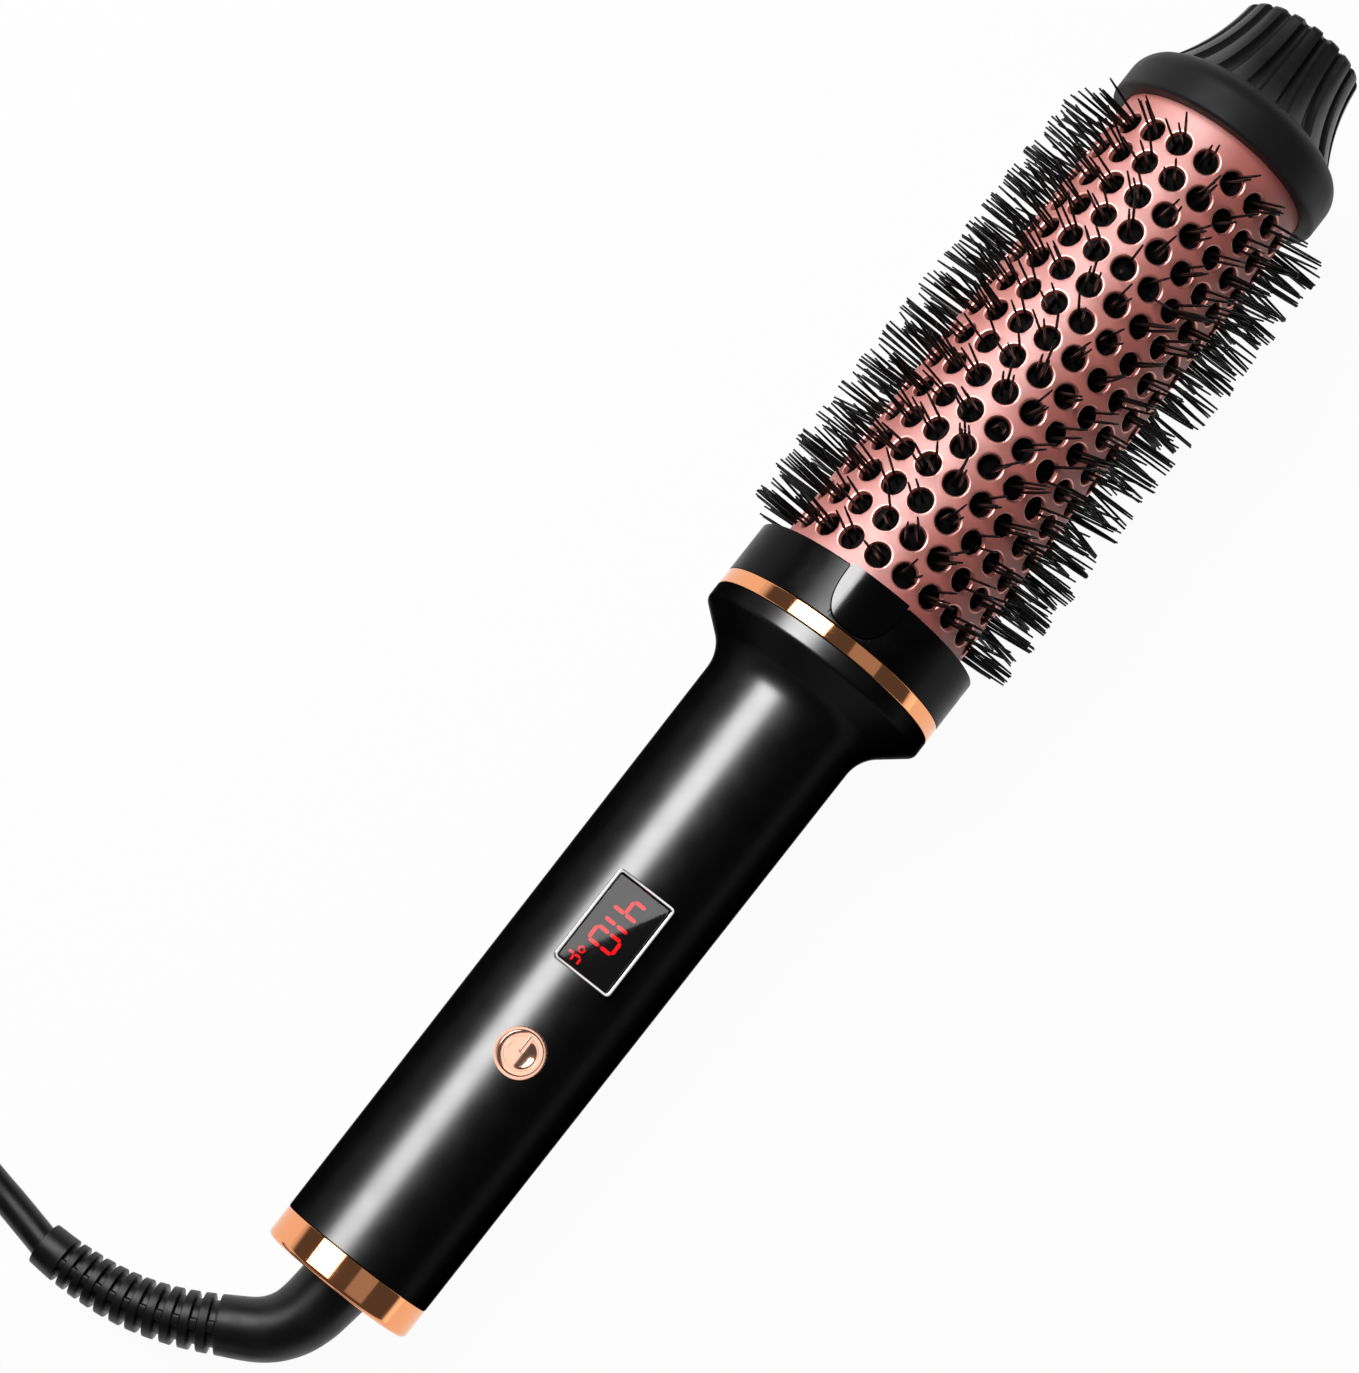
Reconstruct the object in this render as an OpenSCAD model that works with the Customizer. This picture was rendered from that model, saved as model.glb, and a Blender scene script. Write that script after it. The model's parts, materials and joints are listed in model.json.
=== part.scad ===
// Heated round brush, lying at rest on its tail ring and its bristles.
// Each piece is drawn along the brush's own axis, X from the tail end to the tip,
// with the buttons facing +Z, and seat() then tilts it into the resting pose.

/* [Handle] */
// Diameter of the handle at its tail end
handle_tail_d = 29.4; // [29.2:0.1:29.6]
// Diameter of the handle where the neck begins to flare
handle_neck_d = 30.9; // [30.7:0.1:31.1]
// Wall of the handle shells
shell_wall = 2.4; // [2.3:0.1:2.5]
// Length of the tail ring that shows
tail_ring_l = 5.9; // [5.7:0.1:6.1]
// Distance from the tail end to the start of the flare
flare_start = 123.3; // [123:0.1:123.6]
// Radius of the flare's hollow curve
flare_r = 7.8; // [7.6:0.1:8]

/* [Neck] */
// Diameter of the neck ring and the collar
collar_d = 45.9; // [45.7:0.1:46.1]
// Distance from the tail end to the neck ring
neck_ring_start = 136.3; // [136.2:0.1:136.4]
// Width of the neck ring
neck_ring_w = 3.1; // [3:0.1:3.2]
// Distance from the tail end to the end of the collar
collar_end = 149.4; // [149.3:0.1:149.5]
// Width of the half-moon insert across the brush
insert_w = 12.2; // [12:0.1:12.6]
// Length of the half-moon insert along the brush
insert_l = 10; // [9.8:0.1:10.1]
// Turn of the insert towards the cord's side, in degrees
insert_turn = 2.2; // [0:0.1:3]

/* [Barrel] */
// Outer diameter of the barrel sleeve
barrel_d = 38; // [37.9:0.1:38.1]
// Wall of the barrel sleeve
barrel_wall = 1; // [0.9:0.1:1.1]
// Distance from the tail end to the cap ring
barrel_end = 251.5; // [251.4:0.1:251.6]
// Diameter of a hole in the barrel
hole_d = 4.45; // [4.2:0.05:4.6]
// Distance from the tail end to the first ring of holes
first_hole = 154.2; // [154:0.1:154.3]
// Distance along the barrel between rings of holes
hole_pitch = 6.05; // [6:0.01:6.06]
// Rings of holes along the barrel
holes_along = 16; // [16:1:16]
// Holes in each ring
holes_around = 20; // [20:1:20]
// Turn of the hole pattern away from the controls, in degrees
pattern_turn = -4.2; // [-9:0.1:9]

/* [Bristles] */
// Diameter over the bristle tips
bristle_span = 56.4; // [56.2:0.1:56.6]
// Diameter of a bristle at its root
bristle_root_d = 0.84; // [0.8:0.02:0.9]
// Diameter of a bristle at its tip
bristle_tip_d = 0.5; // [0.4:0.02:0.6]
// How far a bristle's tip leans away from the middle of its hole
bristle_lean = 1.9; // [1.5:0.1:2.2]

/* [Cap and tip] */
// Diameter of the cap ring
cap_d = 43.9; // [43.7:0.1:44.1]
// Length of the cap ring's straight wall
cap_wall_l = 5.1; // [5:0.1:5.3]
// Radius of the cap ring's rounded shoulder
cap_shoulder_r = 5; // [4.9:0.1:5.1]
// Diameter of the cool tip where it leaves the cap ring
tip_base_d = 37; // [36.8:0.1:37.2]
// Length of the cool tip that shows
tip_l = 18.4; // [18.3:0.1:18.5]
// Radius of the cool tip's hollow side
tip_curve_r = 40; // [39:0.5:41]
// Ribs around the cool tip
tip_ribs = 18; // [18:1:20]

/* [Controls] */
// Distance from the tail end to the middle of the power button
button_x = 50; // [49.8:0.1:50.2]
// Diameter of the power button
button_d = 8; // [7.9:0.1:8.1]
// Diameter of the well round the power button
button_well_d = 9.1; // [9:0.1:9.2]
// How far the power button presses in
button_travel = 0.6; // [0.5:0.1:0.6]
// Distance from the tail end to the middle of the display
display_x = 75.7; // [75.6:0.1:75.8]
// Length of the display frame along the brush
display_l = 19; // [18.9:0.1:19.1]
// Width of the display frame across the brush
display_w = 11.9; // [11.8:0.1:12]
// Width of the display frame's rim
display_rim = 0.7; // [0.6:0.05:0.75]

/* [Cord] */
// Diameter of the cord
cord_d = 5.6; // [5.5:0.1:5.7]
// Diameter of the strain relief at the handle
boot_base_d = 13; // [12.9:0.1:13.1]
// Diameter of the strain relief at the cord
boot_end_d = 7.9; // [7.7:0.1:8.1]
// Ribs on the strain relief
boot_ribs = 11; // [11:1:11]
// Turns in each layer of the coil
layer_turns = 2; // [2:1:2]
// Layers in the coil
coil_layers = 4; // [4:2:4]
// Gap left between neighbouring turns of the coil
coil_gap = 0.45; // [0.44:0.01:0.48]

/* [Hidden] */
$fn = 96;

// Radii along the brush
tail_r = handle_tail_d / 2;
neck_r = handle_neck_d / 2;
collar_r = collar_d / 2;
barrel_r = barrel_d / 2;
bore_r = barrel_r - barrel_wall;
cap_r = cap_d / 2;
tip_base_r = tip_base_d / 2;
edge_r = 1;
flare_angle = 50;

// Stations along the brush
sleeve_start = 142.2;
sleeve_end = 252.2;
sleeve_fit = 0.08;
neck_ring_end = neck_ring_start + neck_ring_w;
cap_end = 261.2;
brush_l = cap_end + tip_l;

// Tail ring and the swivel's nested walls
tail_spigot_r = tail_r - shell_wall - 0.1;
tail_face_t = 2.4;
tail_hole_r = boot_base_d / 2 + 0.4;
cup_r = 10.9;
cup_end = 10.5;
stem_bore_r = 6;
stem_r = stem_bore_r - 0.05;
slip_ring_stations = [11.2, 13.6];
slip_ring_w = 1.6;
slip_ring_r = 4.6;

// Collar, cap ring and the joints between them and their neighbours
collar_spigot_r = 20.7;
collar_seat_r = collar_spigot_r + 0.05;
collar_foot = 134.9;
collar_bore_r = 16.8;
flare_bore = [
    [134.6, collar_seat_r], [131.1, 16.6], [126.5, 13.4], [121, neck_r - shell_wall]
];
cap_floor = 252.5;
cap_roof = 260;
tip_spigot_r = 9.95;
tip_seat_r = tip_spigot_r + 0.1;
tip_bore = [4, 8.2];
tip_web = 271;
tip_screw_r = 1.42;

// Bristles: tips flattened by this much where the brush rests on them
rest_flat = 0.5;
tip_circle_r = bristle_span / 2;
rest_run = first_hole - edge_r;
rest_rise = tip_circle_r - tail_r + edge_r;
rest_tilt = atan2(rest_rise, rest_run)
    - asin((edge_r + rest_flat) / norm([rest_rise, rest_run]));
rest_lift = (tail_r - edge_r) * cos(rest_tilt) + edge_r - edge_r * sin(rest_tilt);

// The lowest and highest X of the resting brush, which put the origin at its middle
tip_face_r = 11.3;
low_x = edge_r * cos(rest_tilt) - (tail_r - edge_r) * sin(rest_tilt) - edge_r;
high_x = brush_l * cos(rest_tilt) + tip_face_r * sin(rest_tilt);
mid_x = (low_x + high_x) / 2;

// Banks of bristles and the heat spreader's ribs between them
banks = 8;
rows = 2 * holes_around;
rows_per_bank = rows / banks;
row_step = 360 / rows;
bank_half_angle = 19.6;
bank_in_r = 14.32;
bank_out_r = 16.9;
bank_start = 148.45;
bank_end = 248.75;
lean_turn = 137.2;

// Heat spreader between its two spiders, and the heater plate it presses on
spreader_start = 148.5;
spreader_r = 14.2;
spreader_wall = 1.1;
spreader_gap = 0.15;
rib_t = 1;
jaw = [91, 16, 1.3];
jaw_wall_h = 9;
spider_r = bore_r - sleeve_fit;
spider_hub = [11.5, 12.9];
heater = [84, 14, 2.8];
heater_x = 198;

// Controls
handle_r_at_button = tail_r + (neck_r - tail_r) * (button_x - tail_ring_l)
    / (flare_start - tail_ring_l);
board = [66, 20.8, 1.6];
board_x = 38;
board_z = 4.4;
board_top = board_z + board[2];
switch_w = 6;
switch_floor = board_top + 0.5;
plunger_z = switch_floor + 0.1 + button_travel;
plunger_h = 1.8;
flange_z = 10.1;
flange_t = 0.8;
flange_r = 5.3;
button_top = handle_r_at_button - 0.08;
button_edge = 0.25;
sign_r = [2.85, 3.1];
sign_gap = 22;
bar = [3.2, 0.9];
dish_r = 8.3;
dish_depth = 0.45;
display_top = 15.25;
frame_floor = 12.2;
window_floor = 13.75;
window_t = 1.1;
module_h = 7;
digit_h = 5.6;
digit_w = 3.4;
segment_w = 0.64;

// Swivelling cord end: the strain relief's middle line, from the tail end to the cord
boot_start = 0.4;
boot_route = [
    on_axis(boot_start), [-145, 0.8, 13.9], [-149.2, 2.4, 13.4], [-152.6, 5.4, 12.8],
    [-155.6, 10.4, 12], [-158.6, 16, 10.9], [-161, 21.8, 9.6], [-162.6, 27.6, 8.2],
    [-163.4, 33.4, 6.8], [-163.7, 38.6, 5.8], [-163.6, 43.6, 4.9]
];
boot_sides = 12;
rib_start = 4.2;
rib_end = 9.3;
groove_depth = 0.9;

// The cord's free stretch, from the strain relief to the coil
cord_r = cord_d / 2;
cord_sides = 8;
cord_route = [
    [-163.6, 43.6, 4.9], [-161.2, 55.2, 3.1], [-159.4, 67, 2.8], [-161.5, 79.5, 2.8],
    [-169.5, 89.5, 2.8], [-181.5, 94, 2.8], [-196, 94, 3.1], [-211, 94, 3.6],
    [-225.4, 94, 3.6]
];

// The coil, and the tail of the cord from the coil to the plug
coil_middle = [-231, 57.5];
coil_out_r = 36.5;
coil_pitch = cord_d + coil_gap;
coil_sides = 6;
rings_per_turn = 24;
end_turns = 0.25;
tie_t = 0.8;
tie_w = 8;
coil_z = cord_r + tie_t;
tail_route = [
    [-269.2, 39.5, 19.4], [-269.4, 27.5, 14.2], [-269, 15.5, 8.4], [-266, 4.5, 4.2],
    [-258.5, -5, 3], [-247, -11, 3.8], [-237, -12, 6], [-230, -12, 6.6]
];
plug_start = [-230, -12, 6.6];
plug_neck_l = 14;
plug_l = 26;
plug_w = 24;
plug_h = 13.2;
blade_l = 17.5;
blade_w = 6.35;
blade_t = 1.5;
blade_gap = 12.7;

// Puts a piece drawn along the brush's axis into the resting pose
module seat() translate([-mid_x, 0, rest_lift]) rotate([0, -rest_tilt, 0]) children();

// A point of the brush's axis in the resting pose
function on_axis(x) = [x * cos(rest_tilt) - mid_x, 0, rest_lift + x * sin(rest_tilt)];

// Turns an outline of [distance along the brush, radius] points about the brush's axis
module spin(outline, angle = 360, start = 0)
    rotate([0, 90, 0]) rotate_extrude(angle = angle, start = start)
        polygon([for (p = outline) [p[1], p[0]]]);

module rod(x0, x1, r) translate([x0, 0, 0]) rotate([0, 90, 0]) cylinder(h = x1 - x0, r = r);

module disc(x0, x1, r, bore) difference() {
    rod(x0, x1, r);
    rod(x0 - 1, x1 + 1, bore);
}

// A flat plate with round corners, standing on Z
module plate(l, w, r, h) linear_extrude(h) union() {
    square([l - 2 * r, w], center = true);
    square([l, w - 2 * r], center = true);
    for (x = [-1, 1], y = [-1, 1]) translate([x * (l / 2 - r), y * (w / 2 - r)]) circle(r);
}

function arc(x, r, radius, from, to, steps) =
    [for (k = [0 : steps]) let (a = from + (to - from) * k / steps)
        [x + radius * cos(a), r + radius * sin(a)]];

// Sweeps: rings of points square to a heading, joined by triangles
function unit(v) = v / norm(v);
function headings(p) = [for (i = [0 : len(p) - 1])
    unit(p[min(i + 1, len(p) - 1)] - p[max(i - 1, 0)])];
function ring(middle, heading, r, sides, turn) =
    let (side = unit(cross([0, 0, 1], heading)), up = cross(heading, side))
    [for (k = [0 : sides - 1]) let (a = turn + 360 * k / sides)
        middle + r * (cos(a) * side + sin(a) * up)];
function side_faces(n, rings) = [for (i = [0 : rings - 2], k = [0 : n - 1], half = [0, 1])
    let (a = i * n + k, b = i * n + (k + 1) % n, c = b + n, d = a + n)
    half == 0 ? [a, c, b] : [a, d, c]];
function end_faces(n, rings) = let (last = (rings - 1) * n)
    [for (k = [1 : n - 2], end = [0, 1])
        end == 0 ? [0, k, k + 1] : [last, last + k + 1, last + k]];

module sweep(middles, directions, radii, sides, turn) {
    rings = [for (i = [0 : len(middles) - 1])
        ring(middles[i], directions[i], radii[i], sides, turn)];
    polyhedron(
        points = [for (r = rings, p = r) p],
        faces = concat(side_faces(sides, len(rings)), end_faces(sides, len(rings))),
        convexity = 10
    );
}

// A smooth curve through a route's points, for u from 0 to the last point's number
function along(p, u) =
    let (
        n = len(p) - 1, i = min(floor(u), n - 1), t = u - i,
        a = p[max(i - 1, 0)], b = p[i], c = p[i + 1], d = p[min(i + 2, n)]
    )
    (2 * b + (c - a) * t + (2 * a - 5 * b + 4 * c - d) * t * t
        + (3 * b - a - 3 * c + d) * t * t * t) / 2;
function heading_at(p, u) =
    unit(along(p, min(u + 0.02, len(p) - 1)) - along(p, max(u - 0.02, 0)));

// Handle shells: one turned wall, parted at the sides
function outer_wall() =
    let (
        arc_end = [flare_start + flare_r * sin(flare_angle),
            neck_r + flare_r * (1 - cos(flare_angle))],
        corner_r = collar_r - edge_r * (1 - cos(flare_angle)),
        corner_x = arc_end[0] + (corner_r - arc_end[1]) / tan(flare_angle),
        corner_mid = [corner_x + edge_r * sin(flare_angle), collar_r - edge_r]
    )
    concat(
        [[tail_ring_l, tail_r]],
        arc(flare_start, neck_r + flare_r, flare_r, -90, flare_angle - 90, 8),
        arc(corner_mid[0], corner_mid[1], edge_r, 90 + flare_angle, 90, 4),
        [[neck_ring_start, collar_r]]
    );

module handle_wall() spin(concat(
    outer_wall(), [[neck_ring_start, collar_seat_r]], flare_bore,
    [[tail_ring_l, tail_r - shell_wall]]
));

screw_stations = [30, 112];
post_stations = [46, 96];
seam_half = 0.08;
boss_z = 1.9;
boss_reach = 13.9;
post_reach = 11.6;
post_y = 7;
screw_head_z = -8;
screw_l = 16.4;

module handle_front_shell() color([0.02, 0.02, 0.022]) seat() difference() {
    union() {
        difference() {
            handle_wall();
            translate([0, -50, -50 + seam_half]) cube([300, 100, 50]);
        }
        for (x = screw_stations) translate([x, 0, boss_z])
            cylinder(h = boss_reach - boss_z, r = 3);
    }
    for (x = screw_stations) translate([x, 0, 0]) cylinder(h = 9, r = 1.3);
    translate([button_x, 0, 8]) cylinder(h = 10, d = button_well_d);
    translate([display_x, 0, 8]) plate(display_l + 0.1, display_w + 0.1, 0.95, 10);
}

module handle_back_shell() color([0.02, 0.02, 0.022]) seat() difference() {
    union() {
        difference() {
            handle_wall();
            translate([0, -50, -seam_half]) cube([300, 100, 50]);
        }
        for (x = screw_stations) translate([x, 0, -boss_reach])
            cylinder(h = boss_reach + boss_z - 0.1, r = 3.6);
        for (x = post_stations, y = [-post_y, post_y]) translate([x, y, -post_reach])
            cylinder(h = post_reach + board_z, r = 1.4);
    }
    for (x = screw_stations) translate([x, 0, -20]) {
        cylinder(h = 30, r = 1.4);
        cylinder(h = 20 + screw_head_z, r = 2.6);
    }
}

module handle_screws() color("silver") seat() for (x = screw_stations)
    translate([x, 0, screw_head_z]) difference() {
        union() {
            translate([0, 0, -1.6]) cylinder(h = 1.6, r = 2.4);
            cylinder(h = screw_l, r = 1.25);
        }
        for (a = [0, 90]) rotate([0, 0, a]) translate([-1.5, -0.3, -2]) cube([3, 0.6, 1.2]);
    }

module tail_ring() color([0.78, 0.47, 0.33]) seat() spin(concat(
    [[0, tail_hole_r]],
    arc(edge_r, tail_r - edge_r, edge_r, 180, 90, 4),
    [
        [tail_ring_l - 0.02, tail_r], [tail_ring_l - 0.02, tail_spigot_r],
        [cup_end, tail_spigot_r], [cup_end, cup_r], [tail_face_t, cup_r],
        [tail_face_t, tail_hole_r]
    ]
));

module neck_ring() color([0.78, 0.47, 0.33]) seat() spin([
    [neck_ring_start + 0.02, collar_seat_r], [neck_ring_start + 0.02, collar_r - 0.2],
    [neck_ring_start + 0.22, collar_r], [neck_ring_end - 0.22, collar_r],
    [neck_ring_end - 0.02, collar_r - 0.2], [neck_ring_end - 0.02, collar_seat_r]
]);

// Half-moon outline of the insert: full-sided, and flat towards the barrel
insert_floor = 20.6;
insert_flat_x = collar_end + 0.4;
insert_fullness = 2 / 2.8;

module half_moon(grow) {
    half_w = insert_w / 2 + grow;
    length = insert_l + grow;
    polygon(concat(
        [[insert_flat_x + grow, half_w]],
        [for (k = [0 : 20]) let (a = 90 - 9 * k)
            [insert_flat_x - length * pow(cos(a), insert_fullness),
                half_w * sign(sin(a)) * pow(abs(sin(a)), insert_fullness)]],
        [[insert_flat_x + grow, -half_w]]
    ));
}

module collar() color([0.05, 0.05, 0.055]) seat() difference() {
    spin([
        [collar_foot, collar_bore_r], [collar_foot, collar_spigot_r],
        [neck_ring_end, collar_spigot_r], [neck_ring_end, collar_r],
        [collar_end - 0.25, collar_r], [collar_end, collar_r - 0.25],
        [collar_end, barrel_r + sleeve_fit], [sleeve_start, barrel_r + sleeve_fit],
        [sleeve_start, collar_bore_r]
    ]);
    rotate([-insert_turn, 0, 0]) translate([0, 0, insert_floor]) linear_extrude(6)
        half_moon(0.2);
}

module collar_insert() color([0.01, 0.01, 0.012]) seat() intersection() {
    rotate([-insert_turn, 0, 0]) translate([0, 0, insert_floor + 0.02]) linear_extrude(6)
        half_moon(0);
    rod(130, 160, collar_r + 0.45);
}

// Barrel: ring i of holes, with every other ring turned by half a step
function hole_x(i) = first_hole + hole_pitch * i;

module barrel_sleeve() color([0.8, 0.5, 0.46]) seat() difference() {
    disc(sleeve_start + 0.02, sleeve_end, barrel_r, bore_r);
    for (i = [0 : holes_along - 1], k = [0 : holes_around - 1])
        rotate([pattern_turn + row_step * (2 * k + (i + 1) % 2), 0, 0])
            translate([hole_x(i), 0, bore_r - 1.5]) cylinder(h = 4, d = hole_d);
}

// One bristle: a slim three-sided spike from its root to a blunt tip
module bristle(x, row, turn) {
    a = pattern_turn + row_step * row;
    out = [0, -sin(a), cos(a)];
    sideways = [0, cos(a), sin(a)];
    lean = cos(turn) * [1, 0, 0] + sin(turn) * sideways;
    root = [x, 0, 0] + (bank_out_r - 0.5) * out + 0.32 * bristle_lean * lean;
    tip = [x, 0, 0] + tip_circle_r * out + bristle_lean * lean;
    sweep([root, tip], [unit(tip - root), unit(tip - root)],
        [bristle_root_d / 2, bristle_tip_d / 2], 3, 30);
}

// A moulded bank: a curved slice of backing with five rows of bristles on it, one to
// each hole of the barrel. The empty resize keeps the bank as one mesh.
module bristle_bank(b) color([0.03, 0.03, 0.03]) resize([0, 0, 0]) difference() {
    seat() union() {
        rotate([0, 90, 0]) translate([0, 0, bank_start]) linear_extrude(bank_end - bank_start)
            polygon([for (edge = [0, 1], k = [0 : 5])
                let (
                    steps = [-bank_half_angle, -13.5, -4.5, 4.5, 13.5, bank_half_angle],
                    a = pattern_turn + 360 * b / banks + steps[edge == 0 ? k : 5 - k],
                    r = edge == 0 ? bank_out_r : bank_in_r
                )
                [-r * cos(a), -r * sin(a)]]);
        for (i = [0 : holes_along - 1], j = [0 : rows_per_bank - 1]) {
            row = rows_per_bank * b + j - 2;
            turn = lean_turn * (i * rows + row);
            if ((row + i + rows) % 2 == 1) bristle(hole_x(i), row, turn);
        }
    }
    translate([-300, -50, -20]) cube([600, 100, 20]);
}

// Cap ring, a hollow moulding that closes the barrel
module cap_ring() color([0.06, 0.06, 0.065]) seat() {
    shoulder_x = barrel_end + cap_wall_l;
    spin(concat(
        [
            [barrel_end, barrel_r + sleeve_fit], [barrel_end, cap_r - 0.6],
            [barrel_end + 0.4, cap_r]
        ],
        arc(shoulder_x, cap_r - cap_shoulder_r, cap_shoulder_r, 90, 45, 5),
        [
            [cap_end, tip_base_r + 0.4], [cap_end, tip_seat_r], [cap_floor, tip_seat_r],
            [cap_floor, 12.2], [cap_roof, 12.2], [cap_roof, 16.2], [cap_roof - 3, 18.3],
            [cap_floor, 18.3], [cap_floor, barrel_r + sleeve_fit]
        ]
    ));
}

// Cool tip: a hollow-sided cone with round grooves between its ribs
tip_base_angle = 32.6;
tip_curve_x = cap_end + tip_curve_r * sin(tip_base_angle);
tip_curve_mid_r = tip_base_r + tip_curve_r * cos(tip_base_angle);
tip_groove_r = 1.15;

module cool_tip() color([0.04, 0.04, 0.045]) seat() difference() {
    foot = cap_floor + 0.1;
    spin(concat(
        [[foot, tip_bore[0]], [tip_web + 2, tip_bore[0]], [tip_web + 2, tip_bore[1]],
            [foot, tip_bore[1]], [foot, tip_spigot_r], [cap_end + 0.05, tip_spigot_r]],
        arc(tip_curve_x, tip_curve_mid_r, tip_curve_r, 270 - tip_base_angle + 0.1, 270 - 6, 8),
        [[brush_l - 0.25, tip_face_r + 0.5], [brush_l, tip_face_r], [brush_l, 0],
            [tip_web, 0], [tip_web, tip_screw_r + 0.08], [foot, tip_screw_r + 0.08]]
    ));
    for (k = [0 : tip_ribs - 1]) rotate([360 * k / tip_ribs, 0, 0])
        translate([tip_curve_x, 0, tip_curve_mid_r]) rotate([90, 0, 0])
            rotate_extrude(start = 236, angle = 40) translate([tip_curve_r, 0])
                circle(tip_groove_r);
}

module tip_screw() color("silver") seat() union() {
    rod(spider_end - 1.6, spider_end, 2.8);
    rod(spider_end, tip_web - 3, tip_screw_r);
}

// Spiders that centre the heat spreader in the barrel, each a disc with a hollow hub
spider_face = spreader_start - 0.1;
spider_end = bank_end + 0.05;
hub_l = 3.6;
lead_hole_r = 6.5;

module rear_spider() color([0.85, 0.83, 0.78]) seat() difference() {
    union() {
        rod(sleeve_start + 0.02, spider_face, spider_r);
        rod(spider_face, spider_face + hub_l, spider_hub[1]);
    }
    rod(sleeve_start - 1, spider_face + hub_l + 1, lead_hole_r);
    rod(spider_face, spider_face + hub_l + 1, spider_hub[0]);
}

module front_spider() color([0.85, 0.83, 0.78]) seat() difference() {
    union() {
        rod(spider_end, cap_floor - 0.1, spider_r);
        rod(spider_end - hub_l, spider_end, spider_hub[1]);
    }
    rod(spider_end - hub_l - 1, spider_end, spider_hub[0]);
    rod(spider_end - hub_l - 1, cap_floor + 1, tip_screw_r + 0.08);
}

// One half of the heat spreader: half a tube, four ribs that reach the barrel's wall
// between the banks of bristles, and a jaw that presses on the heater
module heat_spreader_half() difference() {
    run = bank_end - spreader_start;
    jaw_z = heater[2] / 2 + 0.1;
    foot_r = spreader_r - spreader_wall / 2;
    union() {
        disc(spreader_start, bank_end, spreader_r, spreader_r - spreader_wall);
        for (k = [0.5 : 3.5]) rotate([pattern_turn + (k - 2) * 360 / banks, 0, 0])
            translate([spreader_start, -rib_t / 2, foot_r])
                cube([run, rib_t, bore_r - 0.1 - foot_r]);
        translate([heater_x - jaw[0] / 2, -jaw[1] / 2, jaw_z]) {
            cube(jaw);
            for (y = [0, jaw[1] - rib_t]) translate([0, y, 0]) cube([jaw[0], rib_t, jaw_wall_h]);
        }
    }
    translate([spreader_start - 1, -50, spreader_gap - 100]) cube([run + 2, 100, 100]);
}

module heat_spreader_top() color([0.75, 0.76, 0.78]) seat() heat_spreader_half();

module heat_spreader_bottom() color([0.75, 0.76, 0.78]) seat() rotate([180, 0, 0])
    heat_spreader_half();

module heater_plate() color([0.9, 0.88, 0.85]) seat()
    translate([heater_x, 0, 0] - heater / 2) cube(heater);

module thermal_fuse() color([0.7, 0.7, 0.72]) seat() translate([0, 0, 4.85]) rod(160, 172, 2);

module temperature_sensor() color([0.75, 0.35, 0.2]) seat()
    translate([0, 0, -4.05]) rod(200, 206, 1.2);

// Leads: two from the board to the heater plate's end, and two from the swivel's leaves
// to the board
lead_r = 0.8;
lead_y = 4;

module heater_leads() color([0.7, 0.7, 0.72]) seat() {
    start = [100, board_top + 1.6];
    end = [heater_x - heater[0] / 2 - 0.3, 0];
    fall = atan((start[1] - end[1]) / (end[0] - start[0]));
    for (y = [-lead_y, lead_y]) translate([start[0], y, start[1]]) rotate([0, 90 + fall, 0])
        cylinder(h = norm(end - start), r = lead_r);
}

module power_leads() color([0.15, 0.15, 0.16]) seat() for (y = [-lead_y, lead_y])
    translate([0, y, board_top + lead_r + 0.1]) rod(socket_end + 0.02, 44, lead_r);

// Controls
module circuit_board() color([0.05, 0.35, 0.15]) seat()
    translate([board_x, -board[1] / 2, board_z]) cube(board);

module tact_switch() color([0.1, 0.1, 0.1]) seat() translate([button_x, 0, 0]) difference() {
    translate([-switch_w / 2, -switch_w / 2, board_top]) cube([switch_w, switch_w, 2.2]);
    translate([0, 0, switch_floor]) cylinder(h = 3, r = 1.75);
}

module switch_plunger() color([0.8, 0.8, 0.8]) seat()
    translate([button_x, 0, plunger_z]) cylinder(h = plunger_h, r = 1.7);

// Power button: a dished cap with a ring and a bar, the ordinary sign for power
module power_button() color([0.8, 0.5, 0.36]) seat() translate([button_x, 0, 0]) {
    difference() {
        union() {
            translate([0, 0, plunger_z + plunger_h])
                cylinder(h = flange_z - plunger_z - plunger_h, r = 1.6);
            translate([0, 0, flange_z]) cylinder(h = flange_t, r = flange_r);
            translate([0, 0, flange_z + flange_t])
                cylinder(h = button_top - flange_z - flange_t - button_edge, d = button_d);
            translate([0, 0, button_top - button_edge])
                cylinder(h = button_edge, d1 = button_d, d2 = button_d - 2 * button_edge);
        }
        translate([0, 0, button_top + dish_r - dish_depth]) sphere(dish_r);
        translate([0, 0, button_top - 0.2])
            rotate_extrude(start = sign_gap, angle = 360 - 2 * sign_gap)
                translate([sign_r[0], 0]) square([sign_r[1] - sign_r[0], 1]);
    }
    translate([0.2, -bar[1] / 2, button_top - 0.7]) cube([bar[0], bar[1], 0.68]);
}

module display_frame() color("silver") seat() translate([display_x, 0, 0]) difference() {
    translate([0, 0, frame_floor]) plate(display_l, display_w, 0.9, display_top - frame_floor);
    translate([0, 0, frame_floor - 1])
        plate(display_l - 2 * display_rim, display_w - 2 * display_rim, 0.4, 8);
}

module display_window() color([0.1, 0.1, 0.12]) seat() translate([display_x, 0, window_floor])
    plate(display_l - 2 * display_rim - 0.1, display_w - 2 * display_rim - 0.1, 0.35, window_t);

module display_module() color([0.12, 0.12, 0.13]) seat()
    translate([display_x - 8.7, -5.1, board_top]) cube([17.4, 10.2, module_h]);

// Display figures, read from the tip towards the tail. Segments run clockwise from
// the top, with the middle bar last.
function segments(w, h) = [
    [[0, h], [w, h]], [[w, h], [w, h / 2]], [[w, h / 2], [w, 0]], [[0, 0], [w, 0]],
    [[0, h / 2], [0, 0]], [[0, h], [0, h / 2]], [[0, h / 2], [w, h / 2]]
];

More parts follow.
